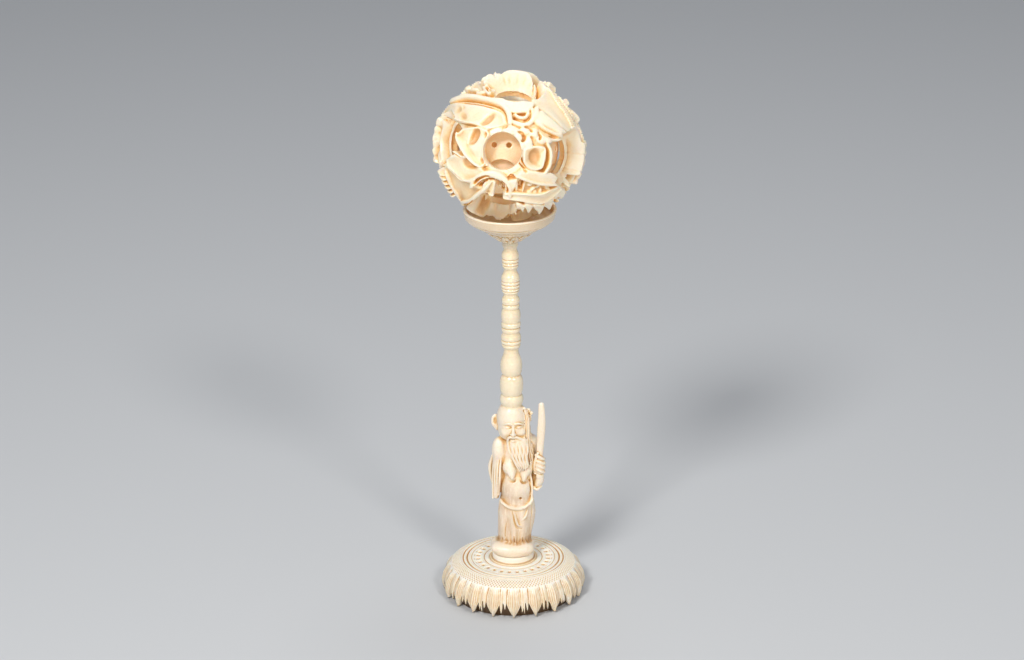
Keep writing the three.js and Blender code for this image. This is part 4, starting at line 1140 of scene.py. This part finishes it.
class Figure(Clay):
    """Clay with the strokes that the figure is carved from."""

    def stroke(self, part, distance, soft, cut=False):
        """Add a form to the clay, or cut it out."""
        sign = -1 if cut else 1
        self.field[part] = sign * softly(sign * self.field[part], distance, soft)

    def mass(self, centre, radii, soft=0.5, cut=False):
        """Oval mass."""
        reach = max(radii) + 1.5
        part, grids = self.part(np.array(centre) - reach, np.array(centre) + reach)
        share = np.sqrt(sum(((grids[i] - centre[i]) / radii[i]) ** 2 for i in range(3)))
        self.stroke(part, (share - 1) * min(radii), soft, cut)

    def chain(self, points, soft=0.3, cut=False, flat=1.0):
        """Tapered rope through (x, y, z, radius) points on a smooth curve."""
        curve = spline(np.array(points, float), 4)
        margin = curve[:, 3].max() + 1.5
        part, (x, y, z) = self.part(curve[:, :3].min(0) - margin, curve[:, :3].max(0) + margin)
        best = None
        for start, end in zip(curve[:-1], curve[1:]):
            along = end[:3] - start[:3]
            length = max(float(along @ along), 1e-9)
            dx, dy, dz = x - start[0], y - start[1], z - start[2]
            share = np.clip((dx * along[0] + dy * along[1] + dz * along[2]) / length, 0, 1)
            square = ((dx - share * along[0]) ** 2 + ((dy - share * along[1]) / flat) ** 2
                + (dz - share * along[2]) ** 2)
            distance = np.sqrt(square) - (start[3] + (end[3] - start[3]) * share)
            best = distance if best is None else np.minimum(best, distance)
        self.stroke(part, best, soft, cut)


def body_at(height):
    """Centre x, centre y, half width and half depth of the robed body at a height."""
    levels = np.array(BODY_LEVELS)
    return [np.interp(height, levels[:, 0], levels[:, i]) for i in range(1, 5)]


def robe_line(clay, marks, size, cut=False):
    """Ridge or groove that follows the robed body through (height, degrees from the front) marks."""
    points = []
    for height, azimuth in marks:
        middle_x, middle_y, half_x, half_y = body_at(height)
        turn = math.radians(azimuth)
        x, y = middle_x + half_x * math.sin(turn), middle_y - half_y * math.cos(turn)
        points.append((x, y, height, size * (0.4 if (height, azimuth) in (marks[0], marks[-1]) else 1)))
    clay.chain(points, 0.3, cut)


def bowed_line(clay, x, half, ends, middle, soft, cut=False):
    """Short line across the face, with its two ends and its middle as (y, z, radius)."""
    clay.chain([(x - half, *ends), (x, *middle), (x + half, *ends)], soft, cut)


def carve_body(clay):
    x, y, z = [axis.astype(np.float32) for axis in np.ix_(*clay.axes)]
    middle_x, middle_y, half_x, half_y = body_at(z)
    turn = np.arctan2(x - 1, -y)
    pleats = np.clip(1.3 - z / HEM_TOP, 0, 1) * PLEAT_DEPTH * np.cos(HEM_PLEATS * turn + 2 * np.sin(3 * turn))
    skirt = np.clip((24 - z) / 8, 0, 1) + np.clip((z - 20) / 6, 0, 1) * np.clip(y / 3, 0, 1)
    folds = skirt * FOLD_DEPTH * np.cos(ROBE_FOLDS * turn + 0.12 * z + 1.5 * np.sin(2 * turn))
    share = np.hypot((x - middle_x) / (half_x + pleats + folds), (y - middle_y) / (half_y + pleats + folds))
    clay.field[:] = np.maximum((share - 1) * np.minimum(half_x, half_y), z - FIGURE_TOP)


def carve_limbs(clay):
    clay.mass((-0.7, -2.9, 37.6), (3.3, 2.7, 3.4), 1.4)
    clay.mass((5.2, -2.9, 37.2), (3.1, 2.7, 3.4), 1.4)
    clay.mass((1.8, -2.1, 28.4), (5.9, 4.6, 5.9), 2)
    clay.mass((6.9, 1.6, 45.6), (4, 3.4, 4.6), 0.8)
    clay.mass((-5.3, -0.4, 44.2), (2.9, 3.1, 5.6), 0.8)
    clay.mass((5.4, 2.4, 51.5), (2.2, 2.8, 4.2), 0.8)
    clay.mass((11, -3.2, 38.8), (2.2, 2.2, 4.8), 0.3)
    clay.chain([(-4, 0.8, 47.2, 2.4), (-5.1, 0, 41, 2.7), (-5.4, -0.4, 33, 2.3), (-6.6, -0.6, 24, 1.2)],
        0.5)
    clay.chain([(-7.8, 1.8, 40.4, 0.8), (-8.8, 1.8, 36, 1), (-8.4, 1.6, 32, 0.9), (-7.4, 1.2, 27, 0.6)],
        0.3)
    clay.chain([(6.6, 1.6, 45, 3), (8.2, 1.2, 38, 2.9), (9.6, -0.2, 29.6, 1.9)], 0.5)
    clay.chain([(10, -0.8, 29.4, 2), (11, -2, 32, 1.8), (11, -3, 36, 1.6)], 0.3)
    clay.chain([(7, -2, 46.5, 1.4), (7, -3, 42, 1.8), (6.7, -3.2, 37, 1.3), (6.8, -2.8, 33, 0.8)], 0.5)


def carve_chest(clay):
    """Pointed breasts, ribs and navel."""
    clay.chain([(-0.7, -4, 37, 1.9), (-0.3, -5.2, 35.4, 1.4), (0, -6.2, 34, 0.5)], 0.8)
    clay.chain([(5.1, -4, 36.6, 1.8), (4.8, -5.1, 34.8, 1.3), (4.5, -6, 33, 0.5)], 0.8)
    clay.chain([(-3, -4.2, 34, 0.3), (-1.6, -5, 32.6, 0.5), (0.6, -5.4, 32.4, 0.5), (1.6, -5.2, 34, 0.25)],
        0.3, True)
    clay.chain([(2.8, -5.3, 34, 0.25), (4, -5.3, 31.8, 0.5), (6, -4.6, 31.8, 0.5), (7.2, -3.8, 33, 0.3)],
        0.3, True)
    for height, reach in ((30.8, 3.4), (29.4, 3.8)):
        clay.chain([(1.8 + share * reach, -6.9 + 0.9 * share * share, height + 0.4 * share * share, 0.16)
            for share in (-1, -0.5, 0, 0.5, 1)], 0.2, True)
    clay.mass((3.2, -6, 25.1), (0.6, 0.8, 0.6), 0.2, cut=True)


def carve_head(clay):
    clay.mass((-0.1, 0, 58.1), (6, 6.1, 7.4), 0.6)
    clay.mass((FACE_MIDDLE, -2.1, 54), (4.8, 4, 5.4), 1)
    clay.mass((-2.2, -0.6, 53.4), (3.4, 3.8, 4.2), 1)
    for side in (-1, 1):
        clay.mass((FACE_MIDDLE + side * 3, -4, 53.4), (1.9, 1.5, 1.7), 0.8)
        eye = FACE_MIDDLE + side * EYE_ASIDE
        clay.mass((eye, -6.2, 56.1), (1.5, 1.1, 0.85), 0.5, cut=True)
        clay.mass((eye, -4.85, 55.9), (1.25, 0.95, 0.72), 0.15)
        bowed_line(clay, eye, 1.2, (-5.35, 55.8, 0.14), (-6, 55.45, 0.17), 0.1, True)
        brow = ((0.7, -6, 57.6, 0.3), (2.2, -5.9, 57.8, 0.42), (3.8, -4.9, 57, 0.3))
        clay.chain([(FACE_MIDDLE + side * shift, *rest) for shift, *rest in brow], 0.3)
        clay.mass((FACE_MIDDLE + side * 0.8, -6.3, 53.2), (0.55, 0.6, 0.5), 0.3)
        clay.mass((FACE_MIDDLE + side * 0.45, -6.9, 52.8), (0.22, 0.4, 0.2), 0.1, cut=True)
    clay.chain([(FACE_MIDDLE, -5.6, 57, 0.5), (FACE_MIDDLE, -6.3, 54.8, 0.6),
        (FACE_MIDDLE, -6.7, 53.3, 0.8)], 0.3)
    bowed_line(clay, FACE_MIDDLE, 1.3, (-5.7, 51.4, 0.3), (-6.2, 51.5, 0.42), 0.2)
    bowed_line(clay, FACE_MIDDLE, 1, (-5.7, 50.6, 0.3), (-6.1, 50.4, 0.45), 0.2)
    bowed_line(clay, FACE_MIDDLE, 1.4, (-6, 51, 0.12), (-6.5, 50.95, 0.16), 0.1, True)


def carve_ears(clay):
    """Large left ear, and the curled knot of hair in front of the other."""
    clay.mass((-6.7, 0.8, 56.3), (1.6, 0.8, 2.9), 0.3)
    clay.mass((-5.9, 0.4, 54), (1.2, 0.9, 1.6), 0.4)
    clay.mass((-5.2, 0.6, 56.6), (1.6, 1, 2.2), 0.5)
    clay.mass((-6.8, -0.1, 56.8), (0.8, 0.6, 1.8), 0.2, cut=True)
    clay.mass((6, 0.6, 58.8), (1.5, 1.1, 2.6), 0.4)
    for x, z, size in ((6.6, 60.9, 0.95), (7.7, 59.8, 0.85), (7.1, 58.4, 0.9), (6.9, 57, 1.05)):
        clay.mass((x, 0.2, z), (size, size, size), 0.1)
        clay.mass((x + 0.1, -0.75, z), (0.4, 0.35, 0.4), 0.1, cut=True)


def carve_beard(clay):
    """Long wavy beard, moustache and the hair that falls past the right cheek."""
    clay.chain([(0.5, -4, 49.6, 2.2), (1.4, -4.6, 45, 2), (3.4, -5.3, 39.5, 1.1)], 0.4)
    clay.chain([(3.9, -4, 49.6, 2.2), (4.3, -4.6, 44, 2), (5, -5.2, 39, 1.3)], 0.4)
    strands = 10
    for i in range(strands):
        share = i / (strands - 1)
        bow = math.sin(math.pi * share)
        wave = 0.25 * (1 if i % 2 else -1)
        clay.chain([(-1.8 + 7.6 * share, -4.6 - 1.2 * bow, 50 - 0.8 * bow, 0.4),
            (-1.1 + 7 * share + wave, -5.5 - bow, 46.6, 0.5),
            (6 * share - wave, -6 - 0.7 * bow, 42.8, 0.48),
            (1.7 + 4.4 * share + 0.5 * wave, -6.2 - 0.3 * bow, 39.8, 0.38),
            (3 + 2.4 * share, -6.2, 37.2 + 1.1 * (i % 2), 0.15)], 0.1)
    for side in (-1, 1):
        clay.chain([(FACE_MIDDLE + side * 0.2, -6.5, 52.2, 0.4),
            (FACE_MIDDLE + side * 1.7, -6.1, 51.8, 0.55), (1.7 + side * 3.4, -5.3, 49.8, 0.55),
            (2.3 + side * 3.3, -5.4, 46.8, 0.42), (3 + side * 2.6, -5.9, 43.4, 0.2)], 0.25)
    clay.chain([(2.2, -3.6, 50, 2.6), (2.9, -4.3, 45, 2.3), (4.2, -4.9, 40, 1.3)], 0.4)
    lock = [(5, -1.4, 62, 0.9), (5.6, -1.8, 58, 1.5), (5.5, -2.2, 54, 1.8), (5.5, -2.8, 50, 1.8),
        (6, -3.2, 46, 1.8), (6.6, -3.4, 42, 1.5), (7, -3.4, 38, 0.8)]
    clay.chain(lock, 0.8)
    for angle in (-0.5, 0.05, 0.6, 1.2):
        clay.chain([(x + radius * math.sin(angle), y - radius * math.cos(angle), z, 0.26)
            for x, y, z, radius in lock], 0.15, True)


def carve_sleeve(clay):
    """Long folds of the sleeve that hangs at the left, with its pointed tail."""
    for x, y, tip_x, tip_z, size in ((-7.4, -0.4, -8, 22.9, 0.6), (-6.7, -1.6, -7.1, 23.6, 0.5),
            (-5.8, -2.5, -6.3, 24.4, 0.5), (-4.8, -3.1, -5.5, 25, 0.5)):
        clay.chain([(x + 0.4, y + 0.2, 42, 0.2), (x, y - 0.1, 38, size), (x - 0.3, y - 0.2, 33, size),
            (tip_x + 0.2, 0.6 * y - 0.4, 28, size), (tip_x, 0.5 * y - 0.4, tip_z, 0.35)], 0.25)
    clay.chain([(-3.4, -4, 43, 0.2), (-3.7, -4.3, 38, 0.3), (-3.9, -4.2, 32, 0.35), (-4.8, -3.6, 26, 0.3)],
        0.2, True)
    for z in (44, 41.5, 39):
        clay.chain([(8.6, -1.6, z, 0.2), (9.6, -0.8, z - 2.2, 0.35), (10.4, 0.4, z - 5, 0.2)], 0.2, True)
    clay.chain([(8.2, -2.4, 28.6, 0.6), (9.8, -2.8, 27.6, 0.6), (11.4, -1.6, 28.4, 0.6)], 0.3)


def carve_dress(clay):
    """Waistband that runs under the belly and up its sides, and the robe's long folds."""
    band = [(-4.7, -3.9, 23.2), (-3.9, -4.8, 22.4), (-2, -6, 21.4), (1.6, -6.6, 20.7), (4.8, -6.1, 21.1),
        (7, -4.9, 22.4), (7.9, -4, 24)]
    clay.chain([(x, y + 0.3, z, 0.68) for x, y, z in band], 0.8)
    clay.chain([(x, y - 0.4, z + 0.95, 0.36) for x, y, z in band], 0.2, True)
    clay.chain([(x, y - 0.3, z - 1.0, 0.3) for x, y, z in band[1:6]], 0.6, True)
    clay.chain([(7.6, -4.1, 23, 0.35), (7.8, -3.5, 27, 0.5), (7.7, -3.3, 31, 0.5), (7.2, -3.6, 35, 0.3)],
        0.4)
    clay.chain([(6.9, -4.6, 24, 0.2), (7.1, -3.9, 28, 0.35), (6.8, -4, 32, 0.2)], 0.2, True)
    robe_line(clay, [(19.6, -14), (17, -9), (14, -3), (12, 5), (11.8, 20)], 0.26, True)
    robe_line(clay, [(18.6, -5), (16, -1), (13.4, 7), (13, 18)], 0.45)
    robe_line(clay, [(19.6, 38), (17, 28), (15.4, 14)], 0.55)
    robe_line(clay, [(15, -30), (12, -34), (8, -34)], 0.3, True)
    for azimuth in (-70, 58, 80, 130, 165, 200, 230):
        robe_line(clay, [(21, azimuth), (15, azimuth - 4), (9, azimuth + 3), (5, azimuth)], 0.24, True)
    for step in range(HEM_PLEATS):
        azimuth = 360 * step / HEM_PLEATS
        top = 8.4 + 1.2 * math.sin(5 * step)
        robe_line(clay, [(3.9, azimuth + 3), (6, azimuth), (top, azimuth - 2)], 0.2, True)


def carve_blade(clay):
    blade = [(10.7, 33.6, 1.2), (10.9, 41, 1.25), (11.3, 47, 1.45), (11.75, 54, 1.62), (11.95, 60, 1.45),
        (11.8, 64.6, 1.15)]
    clay.chain([(x, BLADE_DEPTH, z, radius) for x, z, radius in blade], 0.1, flat=0.7)
    for height, reach in ((36.6, 1.7), (38.5, 1.9), (40.4, 1.9), (42.3, 1.7)):
        clay.chain([(11 - 0.9 * reach, -4, height + 0.9, 0.6), (11, -4.95, height + 0.2, 0.72),
            (11 + 0.8 * reach, -4.3, height - 0.7, 0.66), (11 + 1.05 * reach, -3.2, height - 1, 0.55)], 0.2)
    clay.chain([(9.4, -3, 35.2, 0.9), (9, -3.7, 38.4, 0.8), (9.6, -4.3, 42, 0.7), (10.3, -4.4, 44.2, 0.5)],
        0.15)
    clay.chain([(8.8, -3.8, 35.6, 0.3), (10.4, -4.6, 35, 0.35), (12.4, -4, 34.4, 0.3)], 0.2, True)


def carve_skirt_foot(clay):
    """Drapery that spills over the plinth's front left."""
    clay.mass((-4.7, -4.4, 2.9), (4.3, 3.6, 2.3), 1.6)
    clay.mass((-0.4, -6, 2.8), (4.6, 2.9, 2.1), 1.6)
    clay.mass((4.6, -4.8, 2.6), (3.8, 3.2, 2.1), 1.6)
    clay.mass((-6, 1, 2.4), (2.9, 3.6, 1.9), 1.4)


def carve_plinth(clay):
    reach = PLINTH_RADIUS + 1
    part, (x, y, z) = clay.part((-reach, -reach, 0), (reach, reach, PLINTH_HEIGHT + 1.5))
    past = np.hypot(x, y) - (PLINTH_RADIUS - 0.25 * np.exp(-((z - 0.1) / 0.5) ** 2))
    over = z - PLINTH_HEIGHT
    corner = np.hypot(np.maximum(past + PLINTH_EDGE, 0), np.maximum(over + PLINTH_EDGE, 0)) - PLINTH_EDGE
    clay.stroke(part, np.maximum(np.maximum(past, over), corner), 0.4)


def make_figure():
    clay = Figure((-10.5, -10, -0.5), (15.5, 9.5, 67), FIGURE_VOXEL)
    for carve in (carve_body, carve_limbs, carve_chest, carve_head, carve_ears, carve_sleeve,
            carve_dress, carve_beard, carve_blade, carve_plinth, carve_skirt_foot):
        carve(clay)
    clay.field = np.maximum(clay.field, -clay.axes[2].astype(np.float32))
    figure = simplified(clay.object("figure_carving"), FIGURE_TRIANGLES)
    places = points_of(figure.data)
    places[:, 2] += figure_low[2]
    figure.data.vertices.foreach_set("co", (places * MM).ravel())
    x, y, z = places.T
    up = z - figure_low[2]
    # Darker tan tint over the skirt and lower body, stronger at the hem.
    skirt = np.clip(4 * (1.27 - np.hypot((x - 0.7) / 6.4, (y - 0.3) / 6.1)), 0, 1)
    hem = skirt * np.clip((up - 3.4) / 1.2, 0, 1) * np.clip((10 - up) / 4.5, 0, 1)
    dress = 0.45 * skirt * np.clip((up - 5) / 2, 0, 1) * np.clip((34 - up) / 5, 0, 1)
    set_attribute(figure.data, "tan_and_shade", np.maximum(hem, dress))
    return figure


# Materials

class Shader:
    """Node material whose nodes are added with their inputs by name."""

    def __init__(self, name):
        self.material = bpy.data.materials.new(name)
        self.material.use_nodes = True
        self.tree = self.material.node_tree
        self.surface = self.tree.nodes["Principled BSDF"].inputs

    def add(self, kind, inputs=None, **settings):
        node = self.tree.nodes.new("ShaderNode" + kind)
        for key, value in settings.items():
            setattr(node, key, value)
        for key, value in (inputs or {}).items():
            self.join(value, node.inputs[key])
        return node

    def join(self, value, socket):
        if isinstance(value, bpy.types.NodeSocket):
            self.tree.links.new(value, socket)
        else:
            socket.default_value = value

    def attribute(self, name):
        return self.add("Attribute", attribute_name=name).outputs["Fac"]

    def noise(self, vector, scale, detail, roughness=0.5):
        inputs = {"Vector": vector, "Scale": scale, "Detail": detail, "Roughness": roughness}
        return self.add("TexNoise", inputs).outputs["Fac"]

    def ranged(self, value, low, high, to_low=0.0, to_high=1.0):
        inputs = {"Value": value, "From Min": low, "From Max": high, "To Min": to_low, "To Max": to_high}
        return self.add("MapRange", inputs).outputs["Result"]

    def ramp(self, factor, stops):
        node = self.add("ValToRGB", {"Fac": factor})
        while len(node.color_ramp.elements) < len(stops):
            node.color_ramp.elements.new(0.5)
        for element, (place, colour) in zip(node.color_ramp.elements, stops):
            element.position = place
            element.color = (*colour, 1)
        return node.outputs["Color"]

    def mix(self, factor, first, second, blend="MIX"):
        node = self.add("Mix", {"Factor": factor}, data_type="RGBA", blend_type=blend)
        self.join(first, node.inputs[6])
        self.join(second, node.inputs[7])
        return node.outputs[2]

    def math(self, operation, *values):
        node = self.add("Math", operation=operation)
        for socket, value in zip(node.inputs, values):
            self.join(value, socket)
        return node.outputs["Value"]


BLACK = (0.0, 0.0, 0.0)
WHITE = (1.0, 1.0, 1.0)
# Painted light on ridges and painted shade in grooves, chosen by the cut map.
RIDGE_LIGHT = (0.97, 0.93, 0.82)
GROOVE_SHADE_SHALLOW = (0.92, 0.78, 0.55)
GROOVE_SHADE_DEEP = (0.62, 0.36, 0.14)
MOTTLE = (0.93, 0.88, 0.78)
SPECK = (0.9, 0.84, 0.72)
TOOL_RING = (0.8, 0.68, 0.5)
# Colour of the faint painted glow that stands in for light passing through the ivory.
PAINTED_GLOW_COLOUR = (1.0, 0.62, 0.24)
RINGS_EACH_RADIAN = 11.0
BUMP_DEPTH = 0.00006


def ivory(name, light, shade, deep, reach=3.0, roughness=(0.34, 0.5), rings=False, glow=0.15,
        painted_glow=0.0, tan_and_shade=None, underside_shadow=None, levels=(0.3, 0.62, 0.9), cut_depth=0.12,
        groove_shade_share=0.9, coat=0.15):
    """Ivory: pale where open, painted amber shade in recesses and cuts, a painted light on ridges, mottled,
    with a fine grain, soft polish and a faint painted glow.
    """
    shader = Shader(name)
    place = shader.add("TexCoord").outputs["Object"]
    # Painted shade: ambient occlusion picks the colour, so recesses get the shade and deep colours as painted
    # amber shade and open surfaces get the light colour.
    open_share = shader.add("AmbientOcclusion", {"Distance": reach * MM}, samples=8).outputs["AO"]
    colour = shader.ramp(open_share, list(zip(levels, (deep, shade, light))))
    mottle = shader.noise(place, 120.0, 4.0, 0.6)
    colour = shader.mix(0.55, colour, shader.ramp(mottle, [(0.3, MOTTLE), (0.62, WHITE)]), "MULTIPLY")
    grain = shader.noise(place, 1400.0, 3.0)
    colour = shader.mix(0.35, colour, shader.ramp(grain, [(0.35, SPECK), (0.5, WHITE)]), "MULTIPLY")
    # Painted shade and light from the cut map: points below the smoothed surface get painted groove shade,
    # raised points get a painted ridge light.
    cut = shader.ranged(shader.attribute("cut"), -cut_depth, cut_depth)
    raised = shader.math("MULTIPLY", shader.ramp(cut, [(0.1, WHITE), (0.42, BLACK)]), 0.55)
    colour = shader.mix(raised, colour, (*RIDGE_LIGHT, 1))
    groove_shade = shader.ramp(cut, [(0.5, WHITE), (0.68, GROOVE_SHADE_SHALLOW), (1.0, GROOVE_SHADE_DEEP)])
    colour = shader.mix(groove_shade_share, colour, groove_shade, "MULTIPLY")
    # Blotchy tan tint by a vertex attribute: on the figure a darker tan over the skirt and hem, on the base
    # painted shade over the leafy side below the shoulder.
    if tan_and_shade is not None:
        drawn = shader.add("Mapping", {"Vector": place, "Scale": (1, 1, 0.25)}).outputs["Vector"]
        blotch = shader.ramp(shader.noise(drawn, 520.0, 4.0, 0.7), [(0.3, BLACK), (0.52, WHITE)])
        amount = shader.math("MULTIPLY", shader.attribute("tan_and_shade"), blotch)
        colour = shader.mix(amount, colour, (*tan_and_shade, 1), "MULTIPLY")
    # Painted shadow: the base's underside and foot ring, seen between the leaves, are painted dark brown.
    if underside_shadow is not None:
        colour = shader.mix(shader.attribute("underside_shadow"), colour, (*underside_shadow, 1))
    height = grain
    if rings:
        wobble = shader.math("MULTIPLY", mottle, 2.5)
        distance = shader.math("MULTIPLY", shader.attribute("ring"), RINGS_EACH_RADIAN)
        wave = shader.math("SINE", shader.math("ADD", distance, wobble))
        line = shader.math("MULTIPLY_ADD", wave, 0.5, 0.5)
        colour = shader.mix(0.3, colour, shader.ramp(line, [(0.0, TOOL_RING), (0.45, WHITE)]), "MULTIPLY")
        height = shader.math("ADD", height, line)
    bump = shader.add("Bump", {"Height": height, "Strength": 0.25, "Distance": BUMP_DEPTH})
    finish = {
        "Base Color": colour, "Normal": bump.outputs["Normal"],
        "Roughness": shader.ranged(mottle, 0.3, 0.7, *roughness),
        "IOR": 1.54, "Specular IOR Level": 0.5, "Coat Weight": coat, "Coat Roughness": 0.12,
        "Subsurface Weight": glow, "Subsurface Radius": (1.0, 0.62, 0.3), "Subsurface Scale": MM,
        # Painted glow: a faint warm emission in place of light passing through thin ivory.
        "Emission Color": (*PAINTED_GLOW_COLOUR, 1), "Emission Strength": painted_glow,
    }
    for key, value in finish.items():
        shader.join(value, shader.surface[key])
    return shader.material


# Light is the open colour; shade and deep are painted shade, picked by ambient occlusion for recesses.
CARVED = dict(light=(1.0, 0.84, 0.62), shade=(0.98, 0.74, 0.4), deep=(0.86, 0.5, 0.12), reach=4.5,
    levels=(0.12, 0.5, 0.82), glow=0.25, painted_glow=0.03, cut_depth=0.5, groove_shade_share=0.7)
INNER = dict(light=(0.93, 0.72, 0.51), shade=(0.9, 0.58, 0.25), deep=(0.8, 0.36, 0.06), reach=3.0,
    levels=(0.1, 0.45, 0.8), glow=0.3, painted_glow=0.1, rings=True)
TURNED = dict(light=(0.96, 0.81, 0.58), shade=(0.9, 0.67, 0.37), deep=(0.68, 0.4, 0.1), reach=1.6,
    roughness=(0.2, 0.3), coat=0.6)
# Painted light in the cup: its shade and deep colours are paler than its open colour, so the dim inside is
# painted brighter, with a faint painted glow.
CUP = dict(TURNED, light=(0.76, 0.64, 0.49), shade=(0.92, 0.76, 0.52), deep=(1.0, 0.78, 0.5), painted_glow=0.06)
FIGURE = dict(light=(1.0, 0.87, 0.73), shade=(0.92, 0.71, 0.43), deep=(0.56, 0.3, 0.08), reach=2.2,
    levels=(0.35, 0.7, 0.95), roughness=(0.3, 0.42), tan_and_shade=(0.55, 0.36, 0.17))
BASE = dict(light=(1.0, 0.98, 0.92), shade=(0.9, 0.7, 0.43), deep=(0.4, 0.2, 0.05), reach=1.6,
    tan_and_shade=(0.82, 0.64, 0.42), underside_shadow=(0.16, 0.09, 0.04), groove_shade_share=0.78)


def place_shell(thing, turn, drop):
    """Turn a shell's mesh by azimuth, elevation and roll, and lift it to where it rests."""
    azimuth, elevation, roll = [math.radians(angle) for angle in turn]
    turned = Matrix.Rotation(azimuth, 3, "Z") @ Matrix.Rotation(-elevation, 3, "X")
    turned = (turned @ Matrix.Rotation(roll, 3, "Y")).to_4x4()
    turned.translation = (0, 0, (BALL_HEIGHT - drop) * MM)
    thing.data.transform(turned)
    return thing


def mark_rings(thing):
    """Distance to the nearest hole's axis along the sphere, in millimetres, for the tool rings."""
    places = points_of(thing.data)
    radius = np.linalg.norm(places, axis=1)
    nearest = np.min([np.arccos(np.clip(places @ axis / radius, -1, 1)) for axis in HOLES], axis=0)
    set_attribute(thing.data, "ring", nearest * radius)
    return thing


def finished(piece, node, slot, material, passes=12):
    """Mark the piece's cuts, dress it in its material and put it in its node's place."""
    mark_cuts(piece.data, passes)
    piece.data.materials.append(material)
    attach(piece, "root")
    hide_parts(node)


outer = place_shell(make_outer_shell(), OUTER_TURN, 0)
middle = place_shell(mark_rings(make_middle_shell()), MIDDLE_TURN, MIDDLE_DROP)
inner = place_shell(mark_rings(make_inner_ball()), INNER_TURN, INNER_DROP)
finished(outer, "outer_shell", "carved_ivory", ivory("carved_ivory", **CARVED), passes=60)
finished(middle, "middle_shell", "inner_ivory", ivory("middle_ivory", **INNER))
finished(inner, "inner_ball", "inner_ivory", ivory("inner_ivory", **INNER))
finished(make_stem(), "stem", "turned_ivory", ivory("turned_ivory", **TURNED))
finished(make_cup(), "cup", "turned_ivory", ivory("cup_ivory", **CUP))
finished(make_base(), "base", "base_ivory", ivory("base_ivory", **BASE))
finished(make_figure(), "figure", "figure_ivory", ivory("figure_ivory", **FIGURE))


# Camera, lights and floor

def make_camera():
    data = bpy.data.cameras.new("camera")
    data.lens = CAMERA_LENS
    data.sensor_width = CAMERA_SENSOR
    data.clip_end = 20
    camera = linked("camera", data)
    pan = Matrix.Rotation(math.radians(CAMERA_PAN), 4, "Z")
    pitch = Matrix.Rotation(math.radians(90 - CAMERA_PITCH), 4, "X")
    roll = Matrix.Rotation(math.radians(CAMERA_ROLL), 4, "Z")
    camera.matrix_world = Matrix.Translation(CAMERA_PLACE) @ pan @ pitch @ roll
    bpy.context.scene.camera = camera


def make_light(name, place, aim_height, size, power, colour):
    """Round lamp that looks at a height on the object's axis, in metres and watts."""
    data = bpy.data.lights.new(name, "AREA")
    data.shape = "DISK"
    data.size = size
    data.energy = power
    data.color = colour
    light = linked(name, data)
    light.location = place
    away = Vector(place) - Vector((0, 0, aim_height))
    light.rotation_euler = away.to_track_quat("Z", "Y").to_euler()


def make_stage():
    mesh = bpy.data.meshes.new("floor")
    half = 6
    corners = [(-half, -half, 0), (half, -half, 0), (half, half, 0), (-half, half, 0)]
    mesh.from_pydata(corners, [], [(0, 1, 2, 3)])
    floor = linked("floor", mesh)
    shader = Shader("floor")
    shader.join((0.62, 0.64, 0.67, 1), shader.surface["Base Color"])
    shader.join(0.9, shader.surface["Roughness"])
    mesh.materials.append(shader.material)
    world = bpy.data.worlds.new("studio")
    world.use_nodes = True
    background = world.node_tree.nodes["Background"]
    background.inputs["Color"].default_value = (0.92, 0.95, 1.0, 1)
    background.inputs["Strength"].default_value = 0.28
    bpy.context.scene.world = world
    bpy.context.scene.view_settings.view_transform = "Standard"


make_camera()
make_stage()
make_light("key", (-0.45, -0.85, 1.0), 0.12, 0.28, 9.6, (1.0, 0.98, 0.94))
make_light("fill", (0.5, -0.9, 0.95), 0.12, 0.22, 4.2, (1.0, 0.97, 0.92))
make_light("bounce", (0.05, -0.9, 0.05), 0.17, 0.5, 2.1, (1.0, 0.84, 0.62))
make_light("top", (0.1, 0.25, 1.1), 0.15, 0.5, 2.2, (1.0, 0.99, 0.97))
